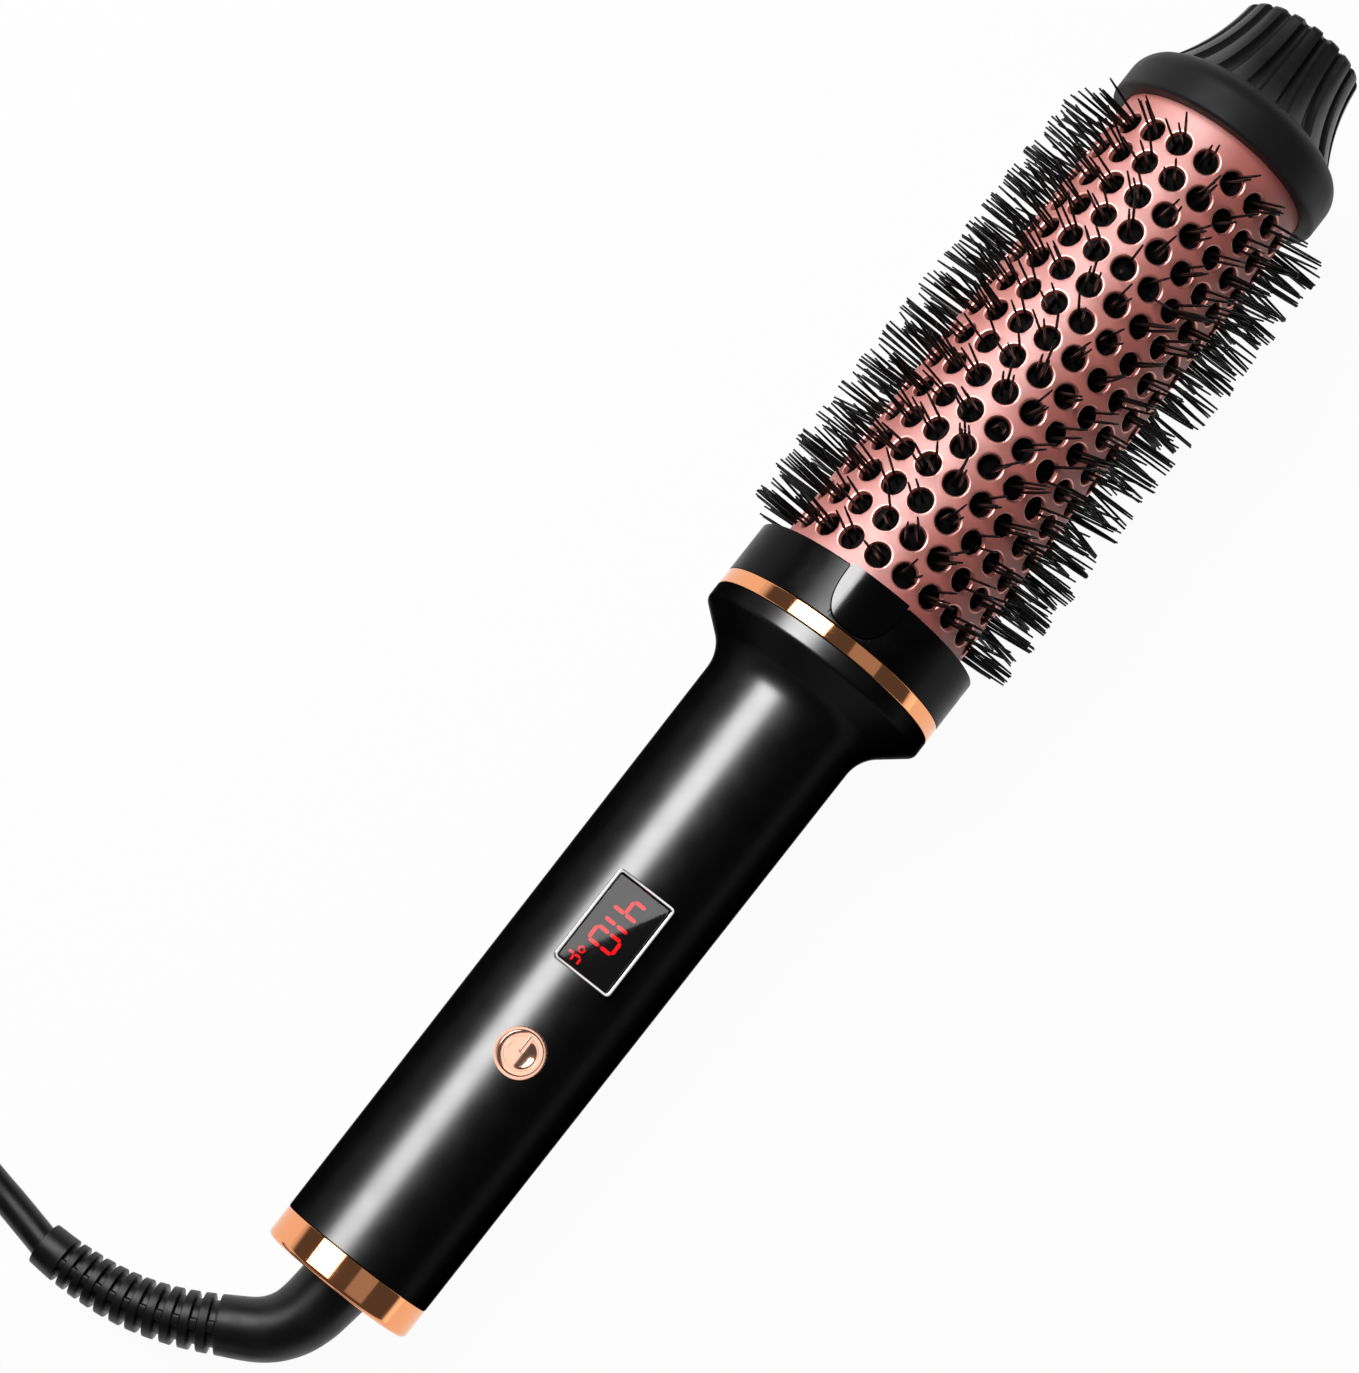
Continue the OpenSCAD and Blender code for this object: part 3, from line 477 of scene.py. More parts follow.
# Cord: the route of part.scad, in millimetres of the part's frame
BOOT_ROUTE = [
    (-145, 0.8, 13.9), (-149.2, 2.4, 13.4), (-152.6, 5.4, 12.8), (-155.6, 10.4, 12),
    (-158.6, 16, 10.9), (-161, 21.8, 9.6), (-162.6, 27.6, 8.2), (-163.4, 33.4, 6.8),
    (-163.7, 38.6, 5.8), (-163.6, 43.6, 4.9),
]
CORD_ROUTE = [
    (-163.6, 43.6, 4.9), (-161.2, 55.2, 3.1), (-159.4, 67, 2.8), (-161.5, 79.5, 2.8),
    (-169.5, 89.5, 2.8), (-181.5, 94, 2.8), (-196, 94, 3.1), (-211, 94, 3.6),
    (-225.4, 94, 3.6),
]
TAIL_ROUTE = [
    (-269.2, 39.5, 19.4), (-269.4, 27.5, 14.2), (-269, 15.5, 8.4), (-266, 4.5, 4.2),
    (-258.5, -5, 3), (-247, -11, 3.8), (-237, -12, 6), (-230, -12, 6.6),
]
COIL_MIDDLE = (-231.0, 57.5)
COIL_OUT_R = 36.5
COIL_PITCH = 6.05
COIL_Z = 3.6
LAYER_TURNS = 2
COIL_LAYERS = 4
END_TURNS = 0.25
CLIMB_TURNS = 0.5
STEPS_PER_TURN = 48
STEPS_PER_POINT = 6


def along(route, u):
    """A smooth curve through a route's points, for u from 0 to the last's number."""
    last = len(route) - 1
    i = min(int(u), last - 1)
    t = u - i
    a, b, c, d = route[max(i - 1, 0)], route[i], route[i + 1], route[min(i + 2, last)]
    return (2 * b + (c - a) * t + (2 * a - 5 * b + 4 * c - d) * t * t
            + (3 * b - a - 3 * c + d) * t ** 3) / 2


def smoothed(route):
    count = STEPS_PER_POINT * (len(route) - 1)
    return [along(route, k / STEPS_PER_POINT) for k in range(count + 1)]


def spiral_r(t):
    """The coil's radius at turn t, inwards on even layers and outwards on odd ones."""
    layer = min(int(t / LAYER_TURNS), COIL_LAYERS)
    part = t - layer * LAYER_TURNS
    if layer == COIL_LAYERS:
        return COIL_OUT_R + COIL_PITCH * part
    return COIL_OUT_R - COIL_PITCH * (part if layer % 2 == 0 else LAYER_TURNS - part)


def climb(t):
    """Layers climbed by turn t: one over the half turn round each reversal."""
    nearest = round(t / LAYER_TURNS)
    if nearest < 1:
        return 0
    if nearest >= COIL_LAYERS:
        return COIL_LAYERS - 1
    away = t - nearest * LAYER_TURNS
    return nearest - 1 + min(1, max(0, away / CLIMB_TURNS + 0.5))


def coil_point(t):
    a = math.radians(90 + 360 * t)
    x = COIL_MIDDLE[0] + spiral_r(t) * math.cos(a)
    y = COIL_MIDDLE[1] + spiral_r(t) * math.sin(a)
    return Vector((x, y, COIL_Z + COIL_PITCH * climb(t)))


def cord_points():
    """The whole cord from the strain relief to the plug."""
    turns = LAYER_TURNS * COIL_LAYERS + END_TURNS
    steps = int(turns * STEPS_PER_TURN)
    lead = [Vector(p) for p in CORD_ROUTE]
    coil = [coil_point(k / STEPS_PER_TURN) for k in range(steps + 1)]
    leave = coil[-1] - Vector((0, 2 * CORD_R, 0))
    tail = [leave] + [Vector(p) for p in TAIL_ROUTE]
    return smoothed(lead) + coil + smoothed(tail)


def make_cord():
    points = cord_points()
    data = bpy.data.curves.new("cord_run", "CURVE")
    data.dimensions = "3D"
    data.bevel_depth = CORD_R * MM
    data.bevel_resolution = 6
    data.use_fill_caps = True
    spline = data.splines.new("POLY")
    spline.points.add(len(points) - 1)
    for point, place in zip(spline.points, points):
        point.co = (*(place * MM), 1.0)
    spline.use_smooth = True
    obj = bpy.data.objects.new("cord_run", data)
    bpy.context.collection.objects.link(obj)
    finish_piece(obj, CORD_END, "black_rubber", CORD_BLACK,
                 "cord", "cord_coil", "cord_tail")


# Strain relief: a smooth elbow, then ribs parted by slots that leave a spine on two
# sides. Its route is counted in points: RIB_START and RIB_END are places along it.
BOOT_BASE_R = 6.5
BOOT_ELBOW_R = 5.2
BOOT_END_R = 3.95
BOOT_START = 0.4
RIB_START = 4.2
RIB_END = 9.3
BOOT_RIBS = 11
SLOT_DEPTH = 1.15
SLOT_EDGE = 0.07
SPINE_HALF = math.radians(13)
SPINE_DROP = 0.35
BOOT_SIDES = 72
ELBOW_STEPS = 40
STEPS_PER_RIB = 14
END_STEPS = 8


def boot_radius(u, length):
    if u < RIB_START:
        return BOOT_BASE_R - (BOOT_BASE_R - BOOT_ELBOW_R) * u / RIB_START
    taper = BOOT_ELBOW_R - BOOT_END_R
    return BOOT_ELBOW_R - taper * (u - RIB_START) / (length - RIB_START)


def slot_share(u):
    """How deep the strain relief's slots are at u: 0 on a rib, 1 in a slot."""
    if not RIB_START < u < RIB_END:
        return 0.0
    part = (u - RIB_START) / (RIB_END - RIB_START) * BOOT_RIBS % 1
    return max(0.0, min(1.0, part / SLOT_EDGE, (0.5 - part) / SLOT_EDGE))


def boot_places(last):
    """Where the strain relief's rings stand along its route."""
    ribbed = BOOT_RIBS * STEPS_PER_RIB
    return (
        [k * RIB_START / ELBOW_STEPS for k in range(ELBOW_STEPS)]
        + [RIB_START + (RIB_END - RIB_START) * k / ribbed for k in range(ribbed + 1)]
        + [RIB_END + (last - RIB_END) * k / END_STEPS for k in range(1, END_STEPS + 1)]
    )


def make_strain_relief():
    route = [BRUSH @ Vector((BOOT_START, 0, 0)) / MM] + [Vector(p) for p in BOOT_ROUTE]
    last = len(route) - 1
    look = 0.02
    mesh = bmesh.new()
    rings = []
    heading = -along_brush
    spine_side = out_of_controls
    for u in boot_places(last):
        middle = along(route, u)
        if u > 0:
            ahead = along(route, min(u + look, last))
            heading = (ahead - along(route, u - look)).normalized()
        spine_side = (spine_side - heading * spine_side.dot(heading)).normalized()
        other = heading.cross(spine_side)
        radius = boot_radius(u, last)
        ring = []
        for a in full_turn(BOOT_SIDES):
            from_spine = min(a % math.pi, math.pi - a % math.pi)
            deep = SPINE_DROP if from_spine < SPINE_HALF else SLOT_DEPTH
            r = radius - deep * slot_share(u)
            spoke = spine_side * math.cos(a) + other * math.sin(a)
            ring.append(mesh.verts.new(middle + r * spoke))
        rings.append(ring)
    for first, second in zip(rings, rings[1:]):
        join_rings(mesh, first, second)
    mesh.faces.new(list(reversed(rings[0])))
    mesh.faces.new(rings[-1])
    bmesh.ops.recalc_face_normals(mesh, faces=mesh.faces)
    obj = new_object("strain_relief_boot", mesh, Matrix.Scale(MM, 4), sharp=40)
    soften(obj, 0.12, angle=55)
    finish_piece(obj, CORD_END, "black_rubber", RUBBER, "strain_relief")


# Handle
SEAM = 0.25
SHELL_STEPS = 200
WELL_R = 4.55
SCREWS_X = (30, 112)
SCREW_SEAT_R = 2.6
FRONT_CUT = (8, 18)
BACK_CUT = (-20, -8)


def handle_outline():
    rise = FLARE_R * (1 - math.cos(FLARE_ANGLE))
    run = (COLLAR_R - NECK_R - rise) / math.tan(FLARE_ANGLE)
    corner_x = FLARE_X + FLARE_R * math.sin(FLARE_ANGLE) + run
    start = RING_L + GAP
    end = NECK_RING_X - GAP
    points = [(start, TAIL_R, 0.15)]
    points += arc(FLARE_X, NECK_R + FLARE_R, FLARE_R,
                  -90, math.degrees(FLARE_ANGLE) - 90, 20)
    points += [(corner_x, COLLAR_R, 1.3), (end, COLLAR_R, 0.15)]
    points += [
        (end, 20.75, 0), (134.6, 20.75, 0), (131.1, 16.6, 0), (126.5, 13.4, 0),
        (121, 13.05, 0), (start, 12.3, 0),
    ]
    return rounded(points)


def handle_shell(name, middle):
    """Half of the handle, round the given angle."""
    first = middle - 90 + SEAM
    return new_object(name, lathe(handle_outline(), SHELL_STEPS, first, 180 - 2 * SEAM))


def make_handle():
    front = handle_shell("handle_front", 0)
    cut(front, prism(disc(BUTTON_X, WELL_R, 24), *FRONT_CUT))
    cut(front, prism(display_outline(-0.1, 0.95), *FRONT_CUT))
    soften(front, 0.14)
    even_normals(front)
    finish_piece(front, HANDLE, "gloss_black", GLOSS_BLACK, "handle_front_shell")

    back = handle_shell("handle_back", 180)
    for x in SCREWS_X:
        cut(back, prism(disc(x, SCREW_SEAT_R, 12), *BACK_CUT))
    soften(back, 0.14)
    even_normals(back)
    finish_piece(back, HANDLE, "gloss_black", GLOSS_BLACK, "handle_back_shell")


def make_rings():
    end = RING_L - GAP
    tail = new_object("tail_band", lathe(rounded([
        (0, 6.9, 0.2), (0, TAIL_R, 0.9), (end, TAIL_R, 0.15), (end, 12.2, 0),
        (10.5, 12.2, 0), (10.5, 10.9, 0), (2.4, 10.9, 0), (2.4, 6.9, 0),
    ])))
    finish_piece(tail, HANDLE, "rose_gold", ROSE_GOLD, "tail_ring")

    start = NECK_RING_X + GAP
    end = NECK_RING_X + NECK_RING_W - GAP
    neck = new_object("neck_band", lathe(rounded([
        (start, 20.8, 0), (start, COLLAR_R, 0.25),
        (end, COLLAR_R, 0.25), (end, 20.8, 0),
    ])))
    finish_piece(neck, HANDLE, "rose_gold", ROSE_GOLD, "neck_ring")


# Collar and its half-moon insert
INSERT_W = 12.2
INSERT_L = 10.0
INSERT_X = COLLAR_END + 0.4
INSERT_FLOOR = 20.6
INSERT_CUT_TOP = 26
INSERT_FULLNESS = 2 / 2.8
INSERT_TURN = math.radians(2.2)
INSERT_PROUD = 0.35
INSERT_STEPS = 60


def half_moon(grow, low):
    """An upright solid over the insert's outline, turned a little round the brush."""
    long = INSERT_L + grow
    half = INSERT_W / 2 + grow
    points = [(INSERT_X + grow, half)]
    for k in range(INSERT_STEPS + 1):
        a = math.radians(90 - 180 * k / INSERT_STEPS)
        length = max(math.cos(a), 0.0) ** INSERT_FULLNESS
        width = math.copysign(abs(math.sin(a)) ** INSERT_FULLNESS, math.sin(a))
        points.append((INSERT_X - long * length, half * width))
    points.append((INSERT_X + grow, -half))
    solid = prism(points, low, INSERT_CUT_TOP)
    solid.transform(Matrix.Rotation(-INSERT_TURN, 4, "X"))
    return solid


def make_collar():
    start = NECK_RING_X + NECK_RING_W
    bore_r = BARREL_R + SLEEVE_GAP
    collar = new_object("collar_shell", lathe(rounded([
        (134.9, 16.8, 0), (134.9, 20.7, 0), (start, 20.7, 0), (start, COLLAR_R, 0.2),
        (COLLAR_END, COLLAR_R, 0.3), (COLLAR_END, bore_r, 0), (142.2, bore_r, 0),
        (142.2, 16.8, 0),
    ])))
    cut(collar, half_moon(0.2, INSERT_FLOOR))
    soften(collar, 0.12)
    even_normals(collar)
    finish_piece(collar, HANDLE, "satin_black", SATIN_BLACK, "collar")

    top_r = COLLAR_R + INSERT_PROUD
    block = lathe([(132, 0), (132, top_r), (158, top_r), (158, 0)], 360)
    insert = new_object("half_moon_insert", block)
    cut(insert, half_moon(0, INSERT_FLOOR + 0.02), "INTERSECT")
    soften(insert, 0.3, segments=3)
    even_normals(insert)
    finish_piece(insert, HANDLE, "gloss_black", INSERT_BLACK, "collar_insert")


# Barrel: cells of one hole each, laid round the barrel with every other ring shifted
CELL_POINTS = 6
WELD = 0.002
# Rings from the barrel's face into a hole, as distances past the hole's edge and down
RIM = ((0.75, 0.0), (0.34, 0.0), (0.2, 0.05), (0.07, 0.16), (0, 0.32), (0, BARREL_WALL))
# How far down the faces are that take the lighter rim colour, a painted highlight round
# each hole's rim
RIM_HIGHLIGHT_DEPTHS = (0.01, 0.4)


def row_angle(row):
    """Where a row of holes stands round the barrel; odd rows lie between even ones."""
    return -math.radians(PATTERN_TURN + 180 * row / HOLES_AROUND)


def cell_edge(half_x, half_a):
    """Points round a cell's border, as offsets along and around the barrel."""
    n = CELL_POINTS
    edge = []
    edge += [(half_x, half_a * (2 * k / n - 1)) for k in range(n)]
    edge += [(half_x * (1 - 2 * k / n), half_a) for k in range(n)]
    edge += [(-half_x, half_a * (1 - 2 * k / n)) for k in range(n)]
    edge += [(half_x * (2 * k / n - 1), -half_a) for k in range(n)]
    return edge


def barrel_cell(mesh, x, a):
    """The piece of the barrel round one hole."""
    half_x = HOLE_PITCH / 2
    half_a = math.pi / HOLES_AROUND
    edge = cell_edge(half_x, half_a)
    turns = [math.atan2(da * half_x / half_a, dx) for dx, da in edge]
    rings = [[polar(x + dx, BARREL_R, a + da) for dx, da in edge]]
    for past, drop in RIM:
        radius = HOLE_R + past
        rings.append([
            polar(x + radius * math.cos(turn), BARREL_R - drop,
                  a + radius * math.sin(turn) / BARREL_R) for turn in turns])
    rings.append([polar(x + dx, BARREL_R - BARREL_WALL, a + da) for dx, da in edge])
    rings = [[mesh.verts.new(point) for point in ring] for ring in rings]
    for first, second in zip(rings, rings[1:]):
        join_rings(mesh, first, second)


def make_barrel():
    bore_r = BARREL_R - BARREL_WALL
    mesh = bmesh.new()
    for i in range(HOLES_ALONG):
        x = FIRST_HOLE + HOLE_PITCH * i
        for k in range(HOLES_AROUND):
            barrel_cell(mesh, x, row_angle(2 * k + (i + 1) % 2))
    strips = HOLES_AROUND * CELL_POINTS
    angles = [row_angle(0) + 2 * math.pi * k / strips for k in range(strips)]
    low = FIRST_HOLE - HOLE_PITCH / 2
    high = FIRST_HOLE + HOLE_PITCH * (HOLES_ALONG - 0.5)
    for outer_end, inner_end in ((BARREL_X[0], low), (high, BARREL_X[1])):
        outline = [(outer_end, BARREL_R), (inner_end, BARREL_R)]
        inside = [(inner_end, bore_r), (outer_end, bore_r)]
        rings = [ring_of(mesh, x, r, angles) for x, r in outline + inside]
        join_rings(mesh, rings[0], rings[1])
        join_rings(mesh, rings[2], rings[3])
        closing = (3, 0) if outer_end < low else (1, 2)
        join_rings(mesh, rings[closing[0]], rings[closing[1]])
    bmesh.ops.remove_doubles(mesh, verts=mesh.verts, dist=WELD)
    bmesh.ops.recalc_face_normals(mesh, faces=mesh.faces)
    shallow, deep = RIM_HIGHLIGHT_DEPTHS
    # Faces on the holes' rims take the lighter metal: a painted highlight where the
    # rims catch the light
    for face in mesh.faces:
        low = min(math.hypot(vert.co.y, vert.co.z) for vert in face.verts)
        face.material_index = int(BARREL_R - deep < low < BARREL_R - shallow)
    barrel = new_object("barrel_shell", mesh, sharp=50)
    on_rim_highlight = [face.material_index for face in barrel.data.polygons]
    finish_piece(barrel, HANDLE, "barrel_pink", BARREL_PINK, "barrel_sleeve")
    barrel.data.materials.append(BARREL_RIM_HIGHLIGHT)
    barrel.data.polygons.foreach_set("material_index", on_rim_highlight)


# Bristles: a small tuft in each hole, on curved slices of backing
BRISTLE_R = 0.3
BRISTLE_TIP_R = 0.24
BRISTLE_SIDES = 6
BRISTLE_RINGS = 4
BRISTLE_END = 0.75
ROOT_DEPTH = 0.3
TUFT_SIZES = (3, 4, 4, 5, 5, 6)
# Tufts that face out of the controls, past this cosine, are thinner
FRONT_COSINE = 0.75
FRONT_TUFT_SIZES = (2, 3, 3, 4)
STRAYS = (0, 0, 1, 1, 2)
# Ranges of the random draws, in millimetres or as shares
DRIFT = (0.1, 1.5)
GATHER_CORD_SIDE = (0.5, 1.4)
GATHER_FAR_SIDE = (0.2, 0.9)
TURN_SWING = (-0.35, 0.35)
SPREAD_R = 1.45
SPREAD_SHARE = (0.12, 1)
TIP_SHORTFALL = (0, 0.45)
STRAY_SPLAY = (0.7, 2.2)
STRAY_SHORTFALL = (0, 1.2)
BOW = (-0.2, 0.3)
FIRST_SEED = 40


def add_bristle(mesh, root, tip, bow):
    """A slim tapered bristle that bows a little, in millimetres of the part's frame."""
    run = tip - root
    heading = run.normalized()
    side = heading.orthogonal().normalized()
    other = heading.cross(side)
    rings = []
    for k in range(BRISTLE_RINGS + 1):
        t = k / BRISTLE_RINGS
        radius = BRISTLE_R + (BRISTLE_TIP_R - BRISTLE_R) * t
        middle = root + run * t + bow * t * t
        middle.z = max(middle.z, BRISTLE_TIP_R + GAP)
        if k == BRISTLE_RINGS:
            radius *= BRISTLE_END
        rings.append([
            mesh.verts.new(middle + radius * (side * math.cos(a) + other * math.sin(a)))
            for a in full_turn(BRISTLE_SIDES)
        ])
    for first, second in zip(rings, rings[1:]):
        join_rings(mesh, first, second)
    mesh.faces.new(rings[-1])


def add_tuft(mesh, x, a, dice):
    """The bristles of one hole, leaning together and apart."""
    to_part = brush_turn.to_3x3()
    base = tail_end / MM
    out = Vector((0, math.sin(a), math.cos(a)))
    round_way = Vector((0, math.cos(a), -math.sin(a)))
    ahead = Vector((1, 0, 0))
    lean = dice.uniform(0, 2 * math.pi)
    drift = (ahead * math.cos(lean) + round_way * math.sin(lean)) * dice.uniform(*DRIFT)
    count = dice.choice(TUFT_SIZES)
    if math.cos(a) > FRONT_COSINE:
        count = dice.choice(FRONT_TUFT_SIZES)
    gather = dice.uniform(*(GATHER_CORD_SIDE if math.sin(a) > 0 else GATHER_FAR_SIDE))
    strays = dice.choice(STRAYS)
    for k in range(count):
        turn = 2 * math.pi * (k + dice.uniform(*TURN_SWING)) / count
        sideways = ahead * math.cos(turn) + round_way * math.sin(turn)
        spread = SPREAD_R * math.sqrt(dice.uniform(*SPREAD_SHARE))
        root = ahead * x + out * (BACKING_R[1] - ROOT_DEPTH) + sideways * spread
        splay = sideways * spread * gather + drift
        reach = TIP_CIRCLE_R - dice.uniform(*TIP_SHORTFALL)
        if k < strays:
            splay += sideways * dice.uniform(*STRAY_SPLAY)
            reach -= dice.uniform(*STRAY_SHORTFALL)
        tip = ahead * x + out * reach + splay
        bow = drift * dice.uniform(*BOW)
        add_bristle(mesh, base + to_part @ root, base + to_part @ tip, to_part @ bow)


def make_bristles():
    rows = 2 * HOLES_AROUND
    per_bank = rows // BANKS
    for bank in range(BANKS):
        dice = random.Random(FIRST_SEED + bank)
        start, end = BANK_X
        low, high = BACKING_R
        middle = math.degrees(row_angle(per_bank * bank))
        half = math.degrees(BANK_HALF)
        mesh = lathe([(start, high), (end, high), (end, low), (start, low)],
                     24, middle - half, 2 * half)
        backing_faces = len(mesh.faces)
        bmesh.ops.transform(mesh, matrix=BRUSH, verts=mesh.verts)
        bmesh.ops.scale(mesh, vec=(1 / MM,) * 3, verts=mesh.verts)
        for i in range(HOLES_ALONG):
            for row in range(per_bank):
                number = per_bank * bank + row - per_bank // 2
                if (number + i + rows) % 2 == 1:
                    add_tuft(mesh, FIRST_HOLE + HOLE_PITCH * i, row_angle(number), dice)
        obj = new_object(f"bristles_{bank + 1}", mesh, Matrix.Scale(MM, 4), sharp=60)
        finish_piece(obj, HANDLE, "bristle_nylon", NYLON, f"bristle_bank_{bank + 1}")
        obj.data.materials.append(BACKING)
        for face in obj.data.polygons[:backing_faces]:
            face.material_index = 1


# Cap ring and cool tip
CAP_LIP = 1.0
SPIGOT_R = 9.95


def make_cap():
    bore_r = BARREL_R + SLEEVE_GAP
    floor = CAP_X + CAP_LIP
    points = [(CAP_X, bore_r, 0.15), (CAP_X, CAP_R, 0.7)]
    points += arc(CAP_X + CAP_WALL, CAP_R - CAP_SHOULDER_R, CAP_SHOULDER_R, 90, 45, 12)
    points += [
        (CAP_END, TIP_BASE_R + 0.4, 0.2), (CAP_END, 10.05, 0), (floor, 10.05, 0),
        (floor, 12.2, 0), (260, 12.2, 0), (260, 16.2, 0), (257, 18.3, 0),
        (floor, 18.3, 0), (floor, bore_r, 0),
    ]
    cap = new_object("cap_shell", lathe(rounded(points)))
    finish_piece(cap, HANDLE, "matt_black", MATT_BLACK, "cap_ring")


TIP_CURVE_R = 40.0
TIP_BASE_ANGLE = math.radians(32.6)
GROOVE_HALF = 0.235
GROOVE_DEPTH = 1.35
CROWN = 0.16
KNUCKLE_R = 1.3
TIP_START = CAP_END + 0.05
TIP_FACE = TIP_END - 0.35
TIP_STEPS = 44
STEPS_PER_GROOVE = 24


def tip_radius(x):
    """The cool tip's outline: a hollow curve, then a rounded end."""
    curve_x = CAP_END + TIP_CURVE_R * math.sin(TIP_BASE_ANGLE)
    curve_r = TIP_BASE_R + TIP_CURVE_R * math.cos(TIP_BASE_ANGLE)
    return curve_r - math.sqrt(TIP_CURVE_R ** 2 - (min(x, TIP_END) - curve_x) ** 2)


def groove_drop(part):
    """How far the tip's face is sunk, for part from 0 to 1 between two ribs."""
    share = max(0.0, 1 - (abs(part - 0.5) / GROOVE_HALF) ** 2)
    crown = CROWN * (1 - math.cos(2 * math.pi * (part - 0.5))) / 2
    return GROOVE_DEPTH * math.sqrt(share) + CROWN - crown


def make_tip():
    angles = full_turn(TIP_RIBS * STEPS_PER_GROOVE)
    knuckle_x = TIP_END - KNUCKLE_R
    outline = []
    for k in range(TIP_STEPS + 1):
        x = TIP_START + (knuckle_x - TIP_START) * k / TIP_STEPS
        outline.append((x, tip_radius(x)))
    end_r = outline[-1][1]
    for k in range(1, 9):
        a = math.radians(90 - 80 * k / 8)
        outline.append((knuckle_x + KNUCKLE_R * math.cos(a),
                        end_r - KNUCKLE_R + KNUCKLE_R * math.sin(a)))
    drops = [groove_drop(k / STEPS_PER_GROOVE % 1) for k in range(len(angles))]
    mesh = bmesh.new()
    spigot_x = CAP_X + CAP_LIP + 0.1
    rings = [ring_of(mesh, spigot_x, 0, angles),
             ring_of(mesh, spigot_x, SPIGOT_R, angles),
             ring_of(mesh, TIP_START, SPIGOT_R, angles)]
    for x, r in outline:
        rings.append([mesh.verts.new(polar(x, r - drop, a))
                      for drop, a in zip(drops, angles)])
    rings.append(ring_of(mesh, TIP_FACE, end_r - KNUCKLE_R - 0.5, angles))
    rings.append(ring_of(mesh, TIP_FACE, 0, angles))
    for first, second in zip(rings, rings[1:]):
        join_rings(mesh, first, second)
    bmesh.ops.recalc_face_normals(mesh, faces=mesh.faces)
    tip = new_object("cool_tip_shell", mesh, sharp=60)
    finish_piece(tip, HANDLE, "matt_black", TIP_BLACK, "cool_tip")


# Controls
DISH_R = 8.3
DISH_DEPTH = 0.45
DISH_STEPS = 8
BUTTON_STEPS = 128
BAR_L = 3.5
BAR_W = 0.95


def make_button():
    top = BUTTON_TOP - 0.02
    rim = math.sqrt(DISH_R ** 2 - (DISH_R - DISH_DEPTH) ** 2)
    profile = [(0, top - DISH_DEPTH)]
    for k in range(1, DISH_STEPS + 1):
        r = rim * k / DISH_STEPS
        profile.append((r, top + DISH_R - DISH_DEPTH - math.sqrt(DISH_R ** 2 - r * r)))
    profile += [
        (2.86, top), (2.9, top - 0.2), (3.06, top - 0.2), (3.1, top), (3.72, top),
        (3.86, top - 0.05), (3.96, top - 0.15), (BUTTON_R, top - 0.3), (BUTTON_R, 10.9),
        (5.3, 10.9), (5.3, 10.1), (1.6, 10.1), (1.6, 9), (0, 9),
    ]
    mesh = bmesh.new()
    rings = []
    for r, z in profile:
        angles = full_turn(BUTTON_STEPS) if r else [0.0]
        rings.append([mesh.verts.new((BUTTON_X + r * math.cos(a), r * math.sin(a), z))
                      for a in angles])
    for first, second in zip(rings, rings[1:]):
        join_rings(mesh, first, second)
    bmesh.ops.recalc_face_normals(mesh, faces=mesh.faces)
    cap = new_object("power_cap", mesh)
    even_normals(cap)
    finish_piece(cap, BUTTON, "rose_gold", BUTTON_GOLD, "power_button")

    outline = rounded_box(BUTTON_X + BAR_L / 2, 0, BAR_L, BAR_W, 0.4)
    bar = new_object("power_bar", prism(outline, top - 0.6, top + 0.02))
    soften(bar, 0.12, segments=3)
    finish_piece(bar, BUTTON, "rose_gold", BUTTON_GOLD)


def display_outline(inset, corner):
    """The outline of the display, drawn in on all sides together by inset."""
    return rounded_box(DISPLAY_X, 0, DISPLAY_L - inset, DISPLAY_W - inset, corner)


def make_display():
    rim = new_object("display_rim", prism(display_outline(0, 0.9), 12.2, DISPLAY_TOP))
    cut(rim, prism(display_outline(1.1, 0.5), 10, 18))
    soften(rim, 0.16, segments=3)
    finish_piece(rim, HANDLE, "silver", SILVER, "display_frame")

    pane = new_object("display_pane", prism(display_outline(1.5, 0.4), 13.75, 14.85))
    soften(pane, 0.12)
    even_normals(pane)
    finish_piece(pane, HANDLE, "dark_glass", WINDOW, "display_window")


# Studio
FLOOR_HALF = 4.0
FLOOR_WHITE = 0.96
WALL_LIGHT = 1.0
CEILING_LIGHT = 0.12
AMBIENT = 0.06


def seen_share(nodes, links, amount):
    """A number that is amount for rays that see the background, and 0 for the rest."""
    path = nodes.new("ShaderNodeLightPath")
    total = None
    for kind in ("Is Camera Ray", "Is Glossy Ray", "Is Transmission Ray"):
        if total is None:
            total = path.outputs[kind]
            continue
        add = nodes.new("ShaderNodeMath")
        add.operation = "MAXIMUM"
        links.new(total, add.inputs[0])
        links.new(path.outputs[kind], add.inputs[1])
        total = add.outputs["Value"]
    scale = nodes.new("ShaderNodeMath")
    scale.operation = "MULTIPLY"
    scale.inputs[1].default_value = amount
    links.new(total, scale.inputs[0])
    return scale.outputs["Value"]


